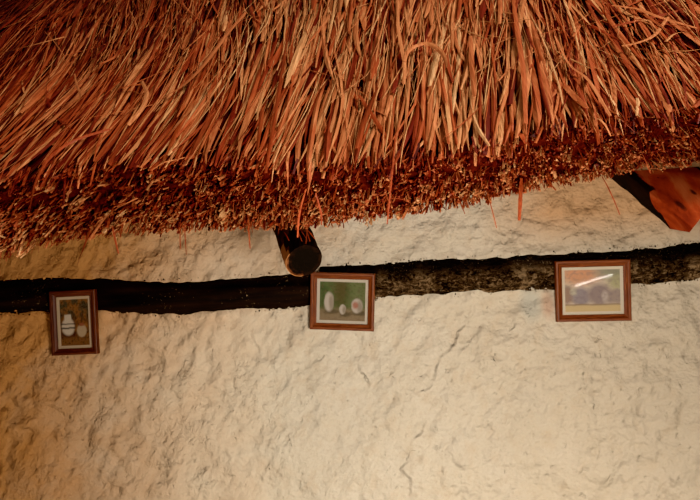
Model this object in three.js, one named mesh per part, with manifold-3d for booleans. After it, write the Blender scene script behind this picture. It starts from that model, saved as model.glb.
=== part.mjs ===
// A length of a thatched cottage's side wall with its eave: a limewashed wall with bond logs let into
// both faces, round rafters laid at a skew over two wall plates, battens, four courses of thatch, and
// three small framed pictures that hang against the outer bond logs.
//
// Units are millimetres and +Z is up. The origin is on the ground, under the middle of the wall. +X runs
// along the wall to the right as seen from outside, and +Y runs through the wall into the cottage.
import * as THREE from "three";
import { mergeVertices } from "three/addons/utils/BufferGeometryUtils.js";
import Module from "manifold-3d";

const wasm = await Module();
wasm.setup();

// Driving dimensions
const GAP = 0.3; // left between pieces that touch
const WALL_LENGTH = 4100;
const WALL_THICKNESS = 500;
const ROOF_PITCH = Math.PI / 4;
const EAVE_HEIGHT = 1960; // underside of the thatch at the cut of the eave
const EAVE_OVERHANG = 500; // from the outer face of the wall to that same edge
const SLOPE_LENGTH = 1900; // of thatch, from the cut of the eave to the top
const THATCH_LENGTH = 4400;
const THATCH_THICKNESS = 180;
const COURSE_COUNT = 4;
const COURSE_STEP = 16; // how far a course's butt end stands above the course below
const BATTEN_RADIUS = 18;
const BATTEN_COUNT = 8;
const BATTEN_LENGTH = 4480;
const RAFTER_SPACING = 900;
const RAFTER_SKEW = THREE.MathUtils.degToRad(16);
const RAFTER_TOP = 1860; // up the slope
const SADDLE = 4; // depth of the notch in a rafter under a batten
const PLATE_RADIUS = 60;
const BOND_RADIUS = 66.5;
const LOG_SIDES = 14;
const BOND_SET_IN = 42; // from the face of the wall to the middle of a bond log

// Derived places
const OUTER_FACE = -WALL_THICKNESS / 2;
const INNER_FACE = WALL_THICKNESS / 2;
const EAVE_Y = OUTER_FACE - EAVE_OVERHANG;
const BATTEN_DEPTH = 2 * BATTEN_RADIUS;
const HEAD_DEPTH = BATTEN_DEPTH + 9; // the wall stops this far under the thatch
const PLATE_DEPTH = BATTEN_DEPTH + 132; // middle of a wall plate under the thatch
const OUTER_PLATE_Y = -130;
const INNER_PLATE_Y = INNER_FACE - PLATE_RADIUS + 10; // 10 proud of the inner face

// The eave isn't cut straight: it hangs low on the left and is lifted on the right. Each pair is a place
// along the wall, and how far up the slope the cut lies there.
const EAVE_CUT = [
  [-2200, 10],
  [-1700, -10],
  [-1100, -40],
  [-450, -60],
  [-180, -5],
  [200, -10],
  [450, 0],
  [650, 35],
  [850, 90],
  [1100, 130],
  [1350, 125],
  [1700, 50],
  [2200, 0],
];

// Each rafter's shift from the even spacing, the width and depth of its pole, and the cuts at its tail. A
// cut is a place up the slope on the middle of the rafter's upper face, an angle off square in the plane of
// the roof, and an angle by which it leans back under the rafter. A hewn rafter is the lower half of its pole.
const RAFTERS = [
  { shift: -10, width: 92, depth: 90, cuts: [[-55, 4, 0]] },
  { shift: -20, width: 98, depth: 92, cuts: [[-30, -5, 0]] },
  { shift: 48, width: 87, depth: 84, cuts: [[-28, 6, 0]] },
  { shift: 83, width: 170, depth: 190, hewn: true, cuts: [[40, 35, 20], [-112, -41, 57]] },
  { shift: -30, width: 96, depth: 90, cuts: [[-60, 6, 0]] },
];

// Middle lines of the bond logs, as places along the wall and heights above the ground.
const BOND_JOINT = 230;
const LEFT_BOND_LINE = [
  [-2100, 1893],
  [-1500, 1888],
  [-800, 1901],
  [-450, 1889],
  [-220, 1867],
  [0, 1870],
  [BOND_JOINT + 30, 1875],
];
const RIGHT_BOND_LINE = [
  [BOND_JOINT - 30, 1889],
  [760, 1891],
  [1160, 1892],
  [1350, 1901],
  [1700, 1908],
  [2100, 1902],
];
const INNER_BOND_LINE = [
  [-2100, 1886],
  [-1100, 1895],
  [0, 1883],
  [1000, 1890],
  [2100, 1896],
];

// Each picture's middle along the wall, height of its lowest corner, size, and turn about its own face.
const PICTURES = [
  { name: "left", x: -518, bottom: 1712, width: 144, height: 194, turn: 0 },
  { name: "centre", x: 299, bottom: 1743, width: 188, height: 168, turn: -4.6 },
  { name: "right", x: 1012, bottom: 1741, width: 207, height: 173, turn: -1.5 },
];
const MOULDING_WIDTH = 19;
const OUTER_BAND = 9; // the raised band round the outside of a moulding
const FRAME_DEPTH = 18;
const BAND_HEIGHT = 13; // of the lower band that holds the glass in
const REBATE = 6;
const REBATE_DEPTH = 9;
const GLASS_THICKNESS = 2;
const PRINT_THICKNESS = 0.8;
const BACKING_THICKNESS = 3;
const NAIL_RADIUS = 1.6;
const NAIL_IN_FRAME = 7;
const NAIL_LENGTH = 42;

const plaster = new THREE.MeshStandardMaterial({ color: 0xd8c39c, roughness: 0.95, metalness: 0 });
const tarredTimber = new THREE.MeshStandardMaterial({ color: 0x1c140e, roughness: 0.6, metalness: 0 });
const darkTimber = new THREE.MeshStandardMaterial({ color: 0x2b1b12, roughness: 0.75, metalness: 0 });
const redTimber = new THREE.MeshStandardMaterial({ color: 0x8e3417, roughness: 0.7, metalness: 0 });
const greyTimber = new THREE.MeshStandardMaterial({ color: 0x6d5138, roughness: 0.85, metalness: 0 });
const thatch = new THREE.MeshStandardMaterial({ color: 0xb5693c, roughness: 0.9, metalness: 0 });
const mahogany = new THREE.MeshStandardMaterial({ color: 0x6b2c17, roughness: 0.35, metalness: 0 });
const clearGlass = new THREE.MeshStandardMaterial({ color: 0xe8eeee, roughness: 0.05, metalness: 0 });
const paper = new THREE.MeshStandardMaterial({ color: 0xd9d2c0, roughness: 0.6, metalness: 0 });
const hardboard = new THREE.MeshStandardMaterial({ color: 0x7a5a3c, roughness: 0.8, metalness: 0 });
const iron = new THREE.MeshStandardMaterial({ color: 0x55504a, roughness: 0.5, metalness: 0.9 });

// Solids for joining and cutting
function solidOf(geometry, matrix = new THREE.Matrix4()) {
  const bare = geometry.clone().applyMatrix4(matrix);
  bare.deleteAttribute("normal");
  bare.deleteAttribute("uv");
  const merged = mergeVertices(bare, 1e-3);
  return new wasm.Manifold(
    new wasm.Mesh({
      numProp: 3,
      vertProperties: merged.attributes.position.array,
      triVerts: new Uint32Array(merged.index.array),
    }),
  );
}

function geometryOf(solid) {
  const mesh = solid.getMesh();
  const geometry = new THREE.BufferGeometry();
  geometry.setAttribute("position", new THREE.BufferAttribute(mesh.vertProperties, 3));
  geometry.setIndex(new THREE.BufferAttribute(mesh.triVerts, 1));
  geometry.computeVertexNormals();
  return geometry;
}

function addPiece(parent, name, geometry, material) {
  const mesh = new THREE.Mesh(geometry, material);
  mesh.name = name;
  parent.add(mesh);
  return mesh;
}

// A straight box between two corners
function box(low, high) {
  const size = new THREE.Vector3().subVectors(high, low);
  const middle = new THREE.Vector3().addVectors(high, low).multiplyScalar(0.5);
  return new THREE.BoxGeometry(size.x, size.y, size.z).translate(middle.x, middle.y, middle.z);
}

// A timber of rounded section along a line. The section's depth lies across the plane of the line, and
// is measured between two flats of the section.
function timber(line, width, depth, sides, steps) {
  const toCorner = 0.5 / Math.cos(Math.PI / sides);
  const corners = Array.from({ length: sides }, (_, i) => {
    const angle = ((i + 0.5) / sides) * 2 * Math.PI;
    return new THREE.Vector2(
      toCorner * depth * Math.cos(angle),
      toCorner * width * Math.sin(angle),
    );
  });
  const extrudePath = new THREE.CatmullRomCurve3(line);
  return new THREE.ExtrudeGeometry(new THREE.Shape(corners), { steps, extrudePath });
}

// A profile drawn across the wall, carried along X and centred on the origin
function alongWall(corners, length) {
  const profile = new THREE.Shape(corners.map(([a, b]) => new THREE.Vector2(a, b)));
  const geometry = new THREE.ExtrudeGeometry(profile, { depth: length, bevelEnabled: false });
  const turn = new THREE.Matrix4().makeBasis(
    new THREE.Vector3(0, 1, 0),
    new THREE.Vector3(0, 0, 1),
    new THREE.Vector3(1, 0, 0),
  );
  return geometry.translate(0, 0, -length / 2).applyMatrix4(turn);
}

// The roof's own frame: X along the wall, Y up the slope from the cut of the eave, Z out of the roof.
const cottageWall = new THREE.Group();
const roof = new THREE.Group();
roof.position.set(0, EAVE_Y, EAVE_HEIGHT);
roof.rotation.x = ROOF_PITCH;
roof.updateMatrix();
cottageWall.add(roof);

// Height of a plane that lies a given depth under the thatch, over a place across the wall
function heightUnderThatch(y, depth) {
  return EAVE_HEIGHT + (y - EAVE_Y) * Math.tan(ROOF_PITCH) - depth / Math.cos(ROOF_PITCH);
}

// Bond logs
function bondLog(line, y, grow = 0) {
  const points = line.map(([x, z]) => new THREE.Vector3(x, y, z));
  const size = 2 * (BOND_RADIUS + grow);
  return solidOf(timber(points, size, size, LOG_SIDES, 18));
}

function between(solid, lowX, highX) {
  const far = 5000;
  const slab = box(new THREE.Vector3(lowX, -far, -far), new THREE.Vector3(highX, far, far));
  return solid.intersect(solidOf(slab));
}

const wallEnd = WALL_LENGTH / 2;
const outerBondY = OUTER_FACE + BOND_SET_IN;
const innerBondY = INNER_FACE - BOND_SET_IN;
const bondLogs = {
  left_bond_log: between(bondLog(LEFT_BOND_LINE, outerBondY), -wallEnd, BOND_JOINT - GAP),
  right_bond_log: between(bondLog(RIGHT_BOND_LINE, outerBondY), BOND_JOINT, wallEnd),
  inner_bond_log: between(bondLog(INNER_BOND_LINE, innerBondY), -wallEnd, wallEnd),
};
const bondGrooves = [
  between(bondLog(LEFT_BOND_LINE, outerBondY, GAP), -wallEnd - GAP, BOND_JOINT),
  between(bondLog(RIGHT_BOND_LINE, outerBondY, GAP), BOND_JOINT - GAP, wallEnd + GAP),
  between(bondLog(INNER_BOND_LINE, innerBondY, GAP), -wallEnd - GAP, wallEnd + GAP),
];

// Height of a bond log's middle line at a place along the wall
function bondHeight(x) {
  const line = x < BOND_JOINT ? LEFT_BOND_LINE : RIGHT_BOND_LINE;
  const curve = new THREE.CatmullRomCurve3(line.map(([a, z]) => new THREE.Vector3(a, 0, z)));
  const nearest = curve.getPoints(400).reduce((a, b) => (Math.abs(a.x - x) < Math.abs(b.x - x) ? a : b));
  return nearest.z;
}

// Wall plates
function wallPlate(y, grow = 0) {
  const z = heightUnderThatch(y, PLATE_DEPTH);
  const end = wallEnd + grow;
  const line = [-end, 0, end].map((x) => new THREE.Vector3(x, y, z));
  const size = 2 * (PLATE_RADIUS + grow);
  return solidOf(timber(line, size, size, LOG_SIDES, 2));
}

// Battens, in the roof's frame
function battenPlace(index) {
  const first = 230;
  const last = RAFTER_TOP - 70;
  return first + ((last - first) * index) / (BATTEN_COUNT - 1);
}

function batten(index, grow = 0) {
  const bow = 7 * Math.sin(2.3 * index + 0.7);
  const shift = 12 * Math.sin(1.9 * index);
  const end = BATTEN_LENGTH / 2;
  const line = [-1, -0.4, 0.35, 1].map(
    (along, i) =>
      new THREE.Vector3(along * end + shift, battenPlace(index) + (i % 2 ? bow : -bow), -BATTEN_RADIUS),
  );
  const size = 2 * (BATTEN_RADIUS + grow);
  return solidOf(timber(line, size, size, 8, 9));
}

// Rafters, in the roof's frame
const plateSlopePlace = (OUTER_PLATE_Y - EAVE_Y) / Math.cos(ROOF_PITCH) - PLATE_DEPTH * Math.tan(ROOF_PITCH);

function rafterX(index, up) {
  const atPlate = (index - (RAFTERS.length - 1) / 2) * RAFTER_SPACING + RAFTERS[index].shift;
  return atPlate - (up - plateSlopePlace) * Math.tan(RAFTER_SKEW);
}

function rafter(index, grow = 0) {
  const { width, depth, hewn, cuts } = RAFTERS[index];
  const face = -BATTEN_DEPTH + SADDLE;
  const middle = hewn ? face : face - depth / 2;
  const bow = 9 * Math.cos(1.7 * index);
  const spare = 60; // cut off again at the tail
  const lowest = Math.min(...cuts.map(([up]) => up)) - spare;
  const places = [lowest, 350, plateSlopePlace, 1350, RAFTER_TOP];
  const line = places.map(
    (up, i) => new THREE.Vector3(rafterX(index, up) + (i % 2 ? bow : 0), up, middle),
  );
  const pole = solidOf(timber(line, width + 2 * grow, depth + 2 * grow, 10, 12));
  const reach = 600;
  const waste = new THREE.BoxGeometry(reach, reach, reach).translate(0, -reach / 2, 0);
  const cutters = cuts.map(([up, angle, lean]) => {
    const turn = new THREE.Matrix4().makeRotationZ(RAFTER_SKEW + THREE.MathUtils.degToRad(angle));
    turn.multiply(new THREE.Matrix4().makeRotationX(THREE.MathUtils.degToRad(lean)));
    return solidOf(waste, turn.setPosition(rafterX(index, up), up - grow, face));
  });
  if (hewn) {
    const low = new THREE.Vector3(-2 * WALL_LENGTH, -reach, face + grow);
    cutters.push(solidOf(box(low, new THREE.Vector3(2 * WALL_LENGTH, 2 * SLOPE_LENGTH, reach))));
  }
  return cutters.reduce((solid, cutter) => solid.subtract(cutter), pole);
}

// Thatch, in the roof's frame
function eaveOutline() {
  const outline = new THREE.Shape();
  const [first, ...rest] = EAVE_CUT.map(([x, up]) => new THREE.Vector2(x, up));
  outline.moveTo(first.x, first.y);
  outline.splineThru(rest);
  outline.lineTo(THATCH_LENGTH / 2, SLOPE_LENGTH);
  outline.lineTo(-THATCH_LENGTH / 2, SLOPE_LENGTH);
  return outline;
}

function thatchCourse(index) {
  const exposure = SLOPE_LENGTH / COURSE_COUNT;
  const isEave = index === 0;
  const start = isEave ? -200 : index * exposure;
  const end = (index + 1) * exposure - GAP;
  const profile = [
    [start, GAP],
    [end, GAP],
    [end, THATCH_THICKNESS],
    [start, THATCH_THICKNESS + COURSE_STEP],
  ];
  const slab = solidOf(alongWall(profile, THATCH_LENGTH));
  if (!isEave) return slab;
  const height = THATCH_THICKNESS + 2 * COURSE_STEP;
  const cut = new THREE.ExtrudeGeometry(eaveOutline(), {
    depth: height,
    bevelEnabled: false,
    curveSegments: 3,
  });
  return slab.intersect(solidOf(cut));
}

// Pictures. In a picture's own frame X is its width, Y its height and Z stands out of its face, with the
// back of the moulding on Z = 0.
function pictureGroup({ x, bottom, width, height, turn }) {
  const middle = new THREE.Group(); // turned in the picture's own plane, about its middle
  const angle = THREE.MathUtils.degToRad(turn);
  const lift = (height * Math.cos(angle) + width * Math.abs(Math.sin(angle))) / 2;
  middle.rotation.z = angle;
  middle.position.y = lift;
  const group = new THREE.Group(); // leans out from the wall until its back rests on the bond log
  const leans = [x - width / 2, x, x + width / 2].map((place) => {
    const toLog = new THREE.Vector2(BOND_SET_IN + GAP, bondHeight(place) - bottom);
    const reach = BOND_RADIUS / Math.cos(Math.PI / LOG_SIDES) + GAP;
    return toLog.angle() - Math.acos(reach / toLog.length());
  });
  group.rotation.x = Math.PI / 2 + Math.max(...leans);
  group.position.set(x, OUTER_FACE - GAP, bottom);
  group.add(middle);
  cottageWall.add(group);
  group.updateMatrixWorld(true);
  return middle;
}

function panel(width, height, low, high) {
  return box(new THREE.Vector3(-width / 2, -height / 2, low), new THREE.Vector3(width / 2, height / 2, high));
}

function ring(width, height, border, low, high) {
  const hole = panel(width - 2 * border, height - 2 * border, low - 1, high + 1);
  return solidOf(panel(width, height, low, high)).subtract(solidOf(hole));
}

function nail(height, grow = 0) {
  const geometry = new THREE.CylinderGeometry(NAIL_RADIUS + grow, NAIL_RADIUS + grow, NAIL_LENGTH + grow, 8);
  geometry.rotateX(Math.PI / 2);
  return geometry.translate(
    0,
    height / 2 - MOULDING_WIDTH / 2,
    NAIL_IN_FRAME - (NAIL_LENGTH - grow) / 2,
  );
}

function addPicture(picture) {
  const { name, width, height } = picture;
  const group = pictureGroup(picture);
  const seat = MOULDING_WIDTH - REBATE;
  const moulding = ring(width, height, seat, 0, REBATE_DEPTH)
    .add(ring(width, height, MOULDING_WIDTH, REBATE_DEPTH, BAND_HEIGHT))
    .add(ring(width, height, OUTER_BAND, BAND_HEIGHT, FRAME_DEPTH))
    .subtract(solidOf(nail(height, GAP)));
  addPiece(group, `${name}_picture_frame`, geometryOf(moulding), mahogany);

  const paneWidth = width - 2 * seat - 2 * GAP;
  const paneHeight = height - 2 * seat - 2 * GAP;
  const layers = [
    ["glass", GLASS_THICKNESS, clearGlass],
    ["print", PRINT_THICKNESS, paper],
    ["backing", BACKING_THICKNESS, hardboard],
  ];
  let front = REBATE_DEPTH - GAP;
  for (const [layer, thickness, material] of layers) {
    const sheet = panel(paneWidth, paneHeight, front - thickness, front);
    addPiece(group, `${name}_picture_${layer}`, sheet, material);
    front -= thickness + GAP;
  }
  addPiece(group, `${name}_picture_nail`, nail(height), iron);

  const log = picture.x < BOND_JOINT ? "left_bond_log" : "right_bond_log";
  bondLogs[log] = bondLogs[log].subtract(solidOf(nail(height, GAP), group.matrixWorld));
}

PICTURES.forEach(addPicture);

// Wall, cut for everything that is built into it
function masonryWall() {
  const profile = [
    [OUTER_FACE, 0],
    [INNER_FACE, 0],
    [INNER_FACE, heightUnderThatch(INNER_FACE, HEAD_DEPTH)],
    [OUTER_FACE, heightUnderThatch(OUTER_FACE, HEAD_DEPTH)],
  ];
  const builtIn = [
    ...bondGrooves,
    wallPlate(OUTER_PLATE_Y, GAP),
    wallPlate(INNER_PLATE_Y, GAP),
    ...RAFTERS.map((_, i) => solidOf(geometryOf(rafter(i, GAP)), roof.matrix)),
  ];
  return builtIn.reduce((wall, cutter) => wall.subtract(cutter), solidOf(alongWall(profile, WALL_LENGTH)));
}

addPiece(cottageWall, "masonry_wall", geometryOf(masonryWall()), plaster);
for (const [name, solid] of Object.entries(bondLogs)) {
  addPiece(cottageWall, name, geometryOf(solid), tarredTimber);
}
addPiece(cottageWall, "outer_wall_plate", geometryOf(wallPlate(OUTER_PLATE_Y)), darkTimber);
addPiece(cottageWall, "inner_wall_plate", geometryOf(wallPlate(INNER_PLATE_Y)), darkTimber);

// Roof, with each rafter notched under the battens and over the plates
const toRoof = roof.matrix.clone().invert();
const rafterCutters = [
  solidOf(geometryOf(wallPlate(OUTER_PLATE_Y, GAP)), toRoof),
  solidOf(geometryOf(wallPlate(INNER_PLATE_Y, GAP)), toRoof),
];
for (let i = 0; i < BATTEN_COUNT; i++) {
  rafterCutters.push(batten(i, GAP));
  addPiece(roof, `batten_${i + 1}`, geometryOf(batten(i)), greyTimber);
}
RAFTERS.forEach(({ hewn }, i) => {
  const notched = rafterCutters.reduce((solid, cutter) => solid.subtract(cutter), rafter(i));
  addPiece(roof, `rafter_${i + 1}`, geometryOf(notched), hewn ? redTimber : darkTimber);
});
for (let i = 0; i < COURSE_COUNT; i++) {
  const name = i === 0 ? "eave_thatch" : `thatch_course_${i + 1}`;
  addPiece(roof, name, geometryOf(thatchCourse(i)), thatch);
}

export default cottageWall;
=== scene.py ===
"""The looks of a thatched cottage's eave and wall section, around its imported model.

Metres, +X along the wall, +Y into the cottage, +Z up.
"""

import math
from functools import partial

import bmesh
import bpy
import numpy as np
from mathutils import Matrix, Vector, noise


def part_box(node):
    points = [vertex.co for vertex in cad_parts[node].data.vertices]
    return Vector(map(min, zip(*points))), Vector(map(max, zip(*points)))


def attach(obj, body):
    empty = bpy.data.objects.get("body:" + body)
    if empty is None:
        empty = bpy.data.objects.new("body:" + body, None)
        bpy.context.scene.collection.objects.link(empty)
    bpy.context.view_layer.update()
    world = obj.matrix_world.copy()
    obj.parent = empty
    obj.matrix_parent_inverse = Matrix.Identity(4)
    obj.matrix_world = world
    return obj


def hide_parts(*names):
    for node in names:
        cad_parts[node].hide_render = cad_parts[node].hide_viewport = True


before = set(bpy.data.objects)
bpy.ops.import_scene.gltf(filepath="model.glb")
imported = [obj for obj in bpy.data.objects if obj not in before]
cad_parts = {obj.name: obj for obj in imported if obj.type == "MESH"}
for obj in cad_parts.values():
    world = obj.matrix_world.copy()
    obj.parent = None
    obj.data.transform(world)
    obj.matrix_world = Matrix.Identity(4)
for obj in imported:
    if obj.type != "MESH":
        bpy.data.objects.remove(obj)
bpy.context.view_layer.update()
scene = bpy.context.scene
rng = np.random.default_rng(7)

# The wall and roof, as the part's solids have them
WALL_LOW, WALL_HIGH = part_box("masonry_wall")
THATCH_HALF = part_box("eave_thatch")[1].x
PITCH = math.radians(45)
EAVE_ORIGIN = Vector((0, -0.75, 1.96))  # underside of the thatch at the cut of the eave
UP_SLOPE = Vector((0, math.cos(PITCH), math.sin(PITCH)))
OUT_OF_ROOF = Vector((0, -math.sin(PITCH), math.cos(PITCH)))
SLOPE_LENGTH = 1.9
THATCH_THICK = 0.18
COURSES = 4
HEAD_DEPTH = 0.045  # the wall's head lies this far under the thatch
BATTEN_RADIUS = 0.018
BATTENS = 8
RAFTER_SKEW = math.radians(16)
RAFTER_SPACING = 0.9
RAFTER_TOP = 1.86
PLATE_PLACE = 0.7088  # how far up the slope the outer wall plate lies
PLATE_RADIUS = 0.0595
BOND_RADIUS = 0.0665
BOND_INSIDE = 0.042  # of the wall's faces, the bond logs' middle lines
BOND_JOINT = 0.23

# Up the slope, where the lower and the upper edge of the cut eave lie at places along the wall
CUT_UNDER = [
    (-2.2, 0.01), (-1.7, -0.01), (-1.1, -0.04), (-0.43, -0.071), (-0.31, -0.015), (-0.22, 0.005),
    (0.02, 0.005), (0.2, -0.008), (0.37, -0.002), (0.48, 0.015), (0.62, 0.034), (0.76, 0.084), (0.94, 0.129),
    (1.05, 0.153), (1.19, 0.168), (1.35, 0.14), (1.7, 0.05), (2.2, 0.0),
]
CUT_OUTER = [
    (-2.2, 0.01), (-1.7, -0.01), (-1.1, -0.03), (-0.45, -0.03), (-0.19, 0.016), (0.12, -0.016),
    (0.36, -0.07), (0.62, -0.028), (0.74, 0.017), (0.9, 0.052), (1.0, 0.08), (1.12, 0.075), (1.35, 0.1),
    (1.7, 0.05), (2.2, 0.0),
]


def roof_points(x, up, out):
    """Arrays of places along the wall, up the slope and out of the roof, as an array of points."""
    x, up, out = np.broadcast_arrays(x, up, out)
    points = np.stack([x, np.zeros_like(x), np.zeros_like(x)], -1) + np.array(EAVE_ORIGIN)
    return points + up[..., None] * np.array(UP_SLOPE) + out[..., None] * np.array(OUT_OF_ROOF)


def cut_of_eave(x, out):
    """How far up the slope the eave is cut."""
    share = np.clip(out / THATCH_THICK, 0, 1)
    under = np.interp(x, *zip(*CUT_UNDER))
    outer = np.interp(x, *zip(*CUT_OUTER))
    return under * (1 - share) + outer * share


# Materials
def new_material(name, roughness, **sockets):
    material = bpy.data.materials.new(name)
    material.use_nodes = True
    shader = material.node_tree.nodes["Principled BSDF"]
    shader.inputs["Roughness"].default_value = roughness
    for socket, value in sockets.items():
        shader.inputs[socket.replace("_", " ")].default_value = value
    return material, Nodes(material.node_tree, shader)


class Nodes:
    """Short names for the nodes that these materials are made of."""

    def __init__(self, tree, shader):
        self.tree = tree
        self.shader = shader
        self.object = tree.nodes.new("ShaderNodeTexCoord").outputs["Object"]

    def put(self, kind, settings=None, **links):
        node = self.tree.nodes.new("ShaderNode" + kind)
        for key, value in (settings or {}).items():
            setattr(node, key, value)
        for key, value in links.items():
            self.feed(node.inputs[key.replace("_", " ")], value)
        return node

    def feed(self, socket, value):
        if isinstance(value, bpy.types.NodeSocket):
            self.tree.links.new(value, socket)
        else:
            socket.default_value = value

    def math(self, operation, *values):
        node = self.tree.nodes.new("ShaderNodeMath")
        node.operation = operation
        for socket, value in zip(node.inputs, values):
            self.feed(socket, value)
        return node.outputs[0]

    def times(self, *values):
        product = values[0]
        for value in values[1:]:
            product = self.math("MULTIPLY", product, value)
        return product

    def plus(self, a, b):
        return self.math("ADD", a, b)

    def less(self, a, b):
        return self.math("SUBTRACT", a, b)

    def hypot(self, a, b):
        return self.math("SQRT", self.plus(self.times(a, a), self.times(b, b)))

    def places(self):
        return self.put("SeparateXYZ", Vector=self.object).outputs

    def noise(self, scale, detail=4.0, rough=0.55, warp=0.0, vector=None):
        node = self.put("TexNoise", Scale=scale, Detail=detail, Roughness=rough, Distortion=warp)
        self.feed(node.inputs["Vector"], vector or self.object)
        return node.outputs["Fac"]

    def stretched(self, scale, turn=None, vector=None):
        """Places turned first, and stretched along their own axes after that."""
        vector = vector or self.object
        if turn:
            vector = self.put("Mapping", Vector=vector, Rotation=turn).outputs["Vector"]
        return self.put("Mapping", Vector=vector, Scale=scale).outputs["Vector"]

    def ramp(self, value, *stops):
        node = self.put("ValToRGB", Fac=value)
        ramp = node.color_ramp
        while len(ramp.elements) < len(stops):
            ramp.elements.new(0.5)
        for element, (place, colour) in zip(ramp.elements, stops):
            element.position = place
            element.color = (*colour, 1)
        return node.outputs["Color"]

    def span(self, value, low, high, to_low=0.0, to_high=1.0):
        node = self.put("MapRange", Value=value)
        for key, number in zip(("From Min", "From Max", "To Min", "To Max"), (low, high, to_low, to_high)):
            node.inputs[key].default_value = number
        return node.outputs["Result"]

    def mix(self, share, a, b, blend="MIX"):
        node = self.tree.nodes.new("ShaderNodeMix")
        node.data_type = "RGBA"
        node.blend_type = blend
        self.feed(node.inputs["Factor"], share)
        self.feed(node.inputs[6], (*a, 1) if isinstance(a, tuple) else a)
        self.feed(node.inputs[7], (*b, 1) if isinstance(b, tuple) else b)
        return node.outputs[2]

    def attribute(self, name):
        return self.put("Attribute", {"attribute_name": name}).outputs["Fac"]

    def bump(self, *layers):
        """Each layer is (height, strength, distance in metres)."""
        normal = None
        for height, strength, distance in layers:
            node = self.put("Bump", Height=height, Strength=strength, Distance=distance)
            if normal:
                self.feed(node.inputs["Normal"], normal)
            normal = node.outputs["Normal"]
        self.feed(self.shader.inputs["Normal"], normal)

    def colour(self, value):
        self.feed(self.shader.inputs["Base Color"], value)

    def rough(self, value):
        self.feed(self.shader.inputs["Roughness"], value)


def straw_material():
    material, n = new_material("dry_thatching_grass", 0.8, Specular_IOR_Level=0.18)
    colour = n.ramp(
        n.attribute("tint"),
        (0.0, (0.050, 0.003, 0.001)),
        (0.22, (0.165, 0.015, 0.004)),
        (0.45, (0.380, 0.078, 0.024)),
        (0.65, (0.570, 0.208, 0.084)),
        (0.84, (0.650, 0.315, 0.138)),
        (1.0, (0.700, 0.400, 0.195)),
    )
    fibre = n.noise(1.0, 3, 0.6, vector=n.stretched((230, 6, 230), (-PITCH, 0, 0)))
    streaks = n.ramp(fibre, (0.32, (0.60, 0.46, 0.38)), (0.62, (1.0, 1.0, 1.0)))
    n.colour(n.mix(1.0, colour, streaks, "MULTIPLY"))
    n.rough(n.span(fibre, 0.3, 0.7, 0.45, 0.7))
    n.bump((fibre, 0.5, 0.0015))
    return material


def core_material():
    material, n = new_material("shaded_thatch_inside", 0.95, Specular_IOR_Level=0.1)
    along = n.stretched((90, 6, 90), (-PITCH, 0, 0))
    fibre = n.noise(1.0, 4, 0.6, vector=along)
    n.colour(n.ramp(fibre, (0.35, (0.034, 0.0016, 0.0004)), (0.7, (0.110, 0.011, 0.003))))
    n.bump((fibre, 0.9, 0.006))
    return material


# Old stains beside the right picture: a place along the wall and a height, half sizes, and a colour
PLASTER_STAINS = [
    ((0.84, 1.80), (0.035, 0.06), (0.42, 0.42, 0.36)),
    ((0.89, 1.795), (0.022, 0.05), (0.52, 0.30, 0.20)),
]


def plaster_colour(n, x, z, outside, patch, sand, lumps):
    """Cream limewash. Painted shade darkens the hollows of its lumps, the right of the outer face and a strip
    under the eave; it is lighter left of the middle, smoked and painted darker toward the left, and stained
    beside the right picture.
    """
    colour = n.ramp(n.noise(1.6, 4, 0.6), (0.3, (0.63, 0.54, 0.405)), (0.62, (0.67, 0.592, 0.465)))
    colour = n.mix(n.span(patch, 0.45, 0.7, 0, 0.35), colour, (0.70, 0.64, 0.54))
    colour = n.mix(n.span(sand, 0.30, 0.5, 0.25, 0), colour, (0.46, 0.34, 0.21))
    # Painted shade: the low places of the lumps are tinted darker and warmer, as shade in their hollows.
    colour = n.mix(n.span(lumps, 0.30, 0.5, 0.30, 0), colour, (0.55, 0.39, 0.23))
    # Painted shade: the outer face is painted darker toward the right.
    shaded = n.times(outside, n.span(x, 0.35, 1.1, 0, 0.6))
    colour = n.mix(shaded, colour, (0.52, 0.42, 0.30))
    # Painted shade under the eave: a warm darker strip at the top of the outer face, most toward the right
    # and the far left.
    eave_painted_shade = n.plus(n.span(x, 0.70, 0.92, 0.08, 0.82), n.span(x, -0.80, -0.35, 0.5, 0))
    colour = n.mix(n.times(outside, n.times(n.span(z, 1.94, 2.06), eave_painted_shade)), colour, (0.568, 0.300, 0.135))
    # Lighter toward the middle left of the outer face.
    lighter_middle_left = n.times(n.span(x, -0.62, -0.25, 0, 0.9), n.span(x, -0.15, 0.2, 1, 0))
    colour = n.mix(n.times(outside, lighter_middle_left), colour, (0.84, 0.73, 0.55))
    # Smoke stain and painted shade: the outer face is painted browner and darker toward the left, reaching
    # further right the higher it is.
    rising = n.math("MULTIPLY_ADD", n.span(z, 1.65, 2.1), -0.35, x)
    smoke_and_shade = n.span(n.plus(rising, n.times(patch, 0.5)), -0.50, 0.36, 1, 0)
    smoke_and_shade = n.times(smoke_and_shade, n.span(z, 0.2, 1.15, 0.3, 1))
    colour = n.mix(n.times(smoke_and_shade, outside), colour, (0.56, 0.26, 0.088))
    for (middle_x, middle_z), (half_x, half_z), stain in PLASTER_STAINS:
        beside = n.math("DIVIDE", n.less(x, middle_x), half_x)
        above = n.math("DIVIDE", n.less(z, middle_z), half_z)
        away = n.hypot(beside, above)
        spot = n.span(n.plus(away, n.times(patch, 0.6)), 0.7, 1.4, 0.6, 0)
        colour = n.mix(n.times(spot, outside), colour, stain)
    return colour


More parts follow.
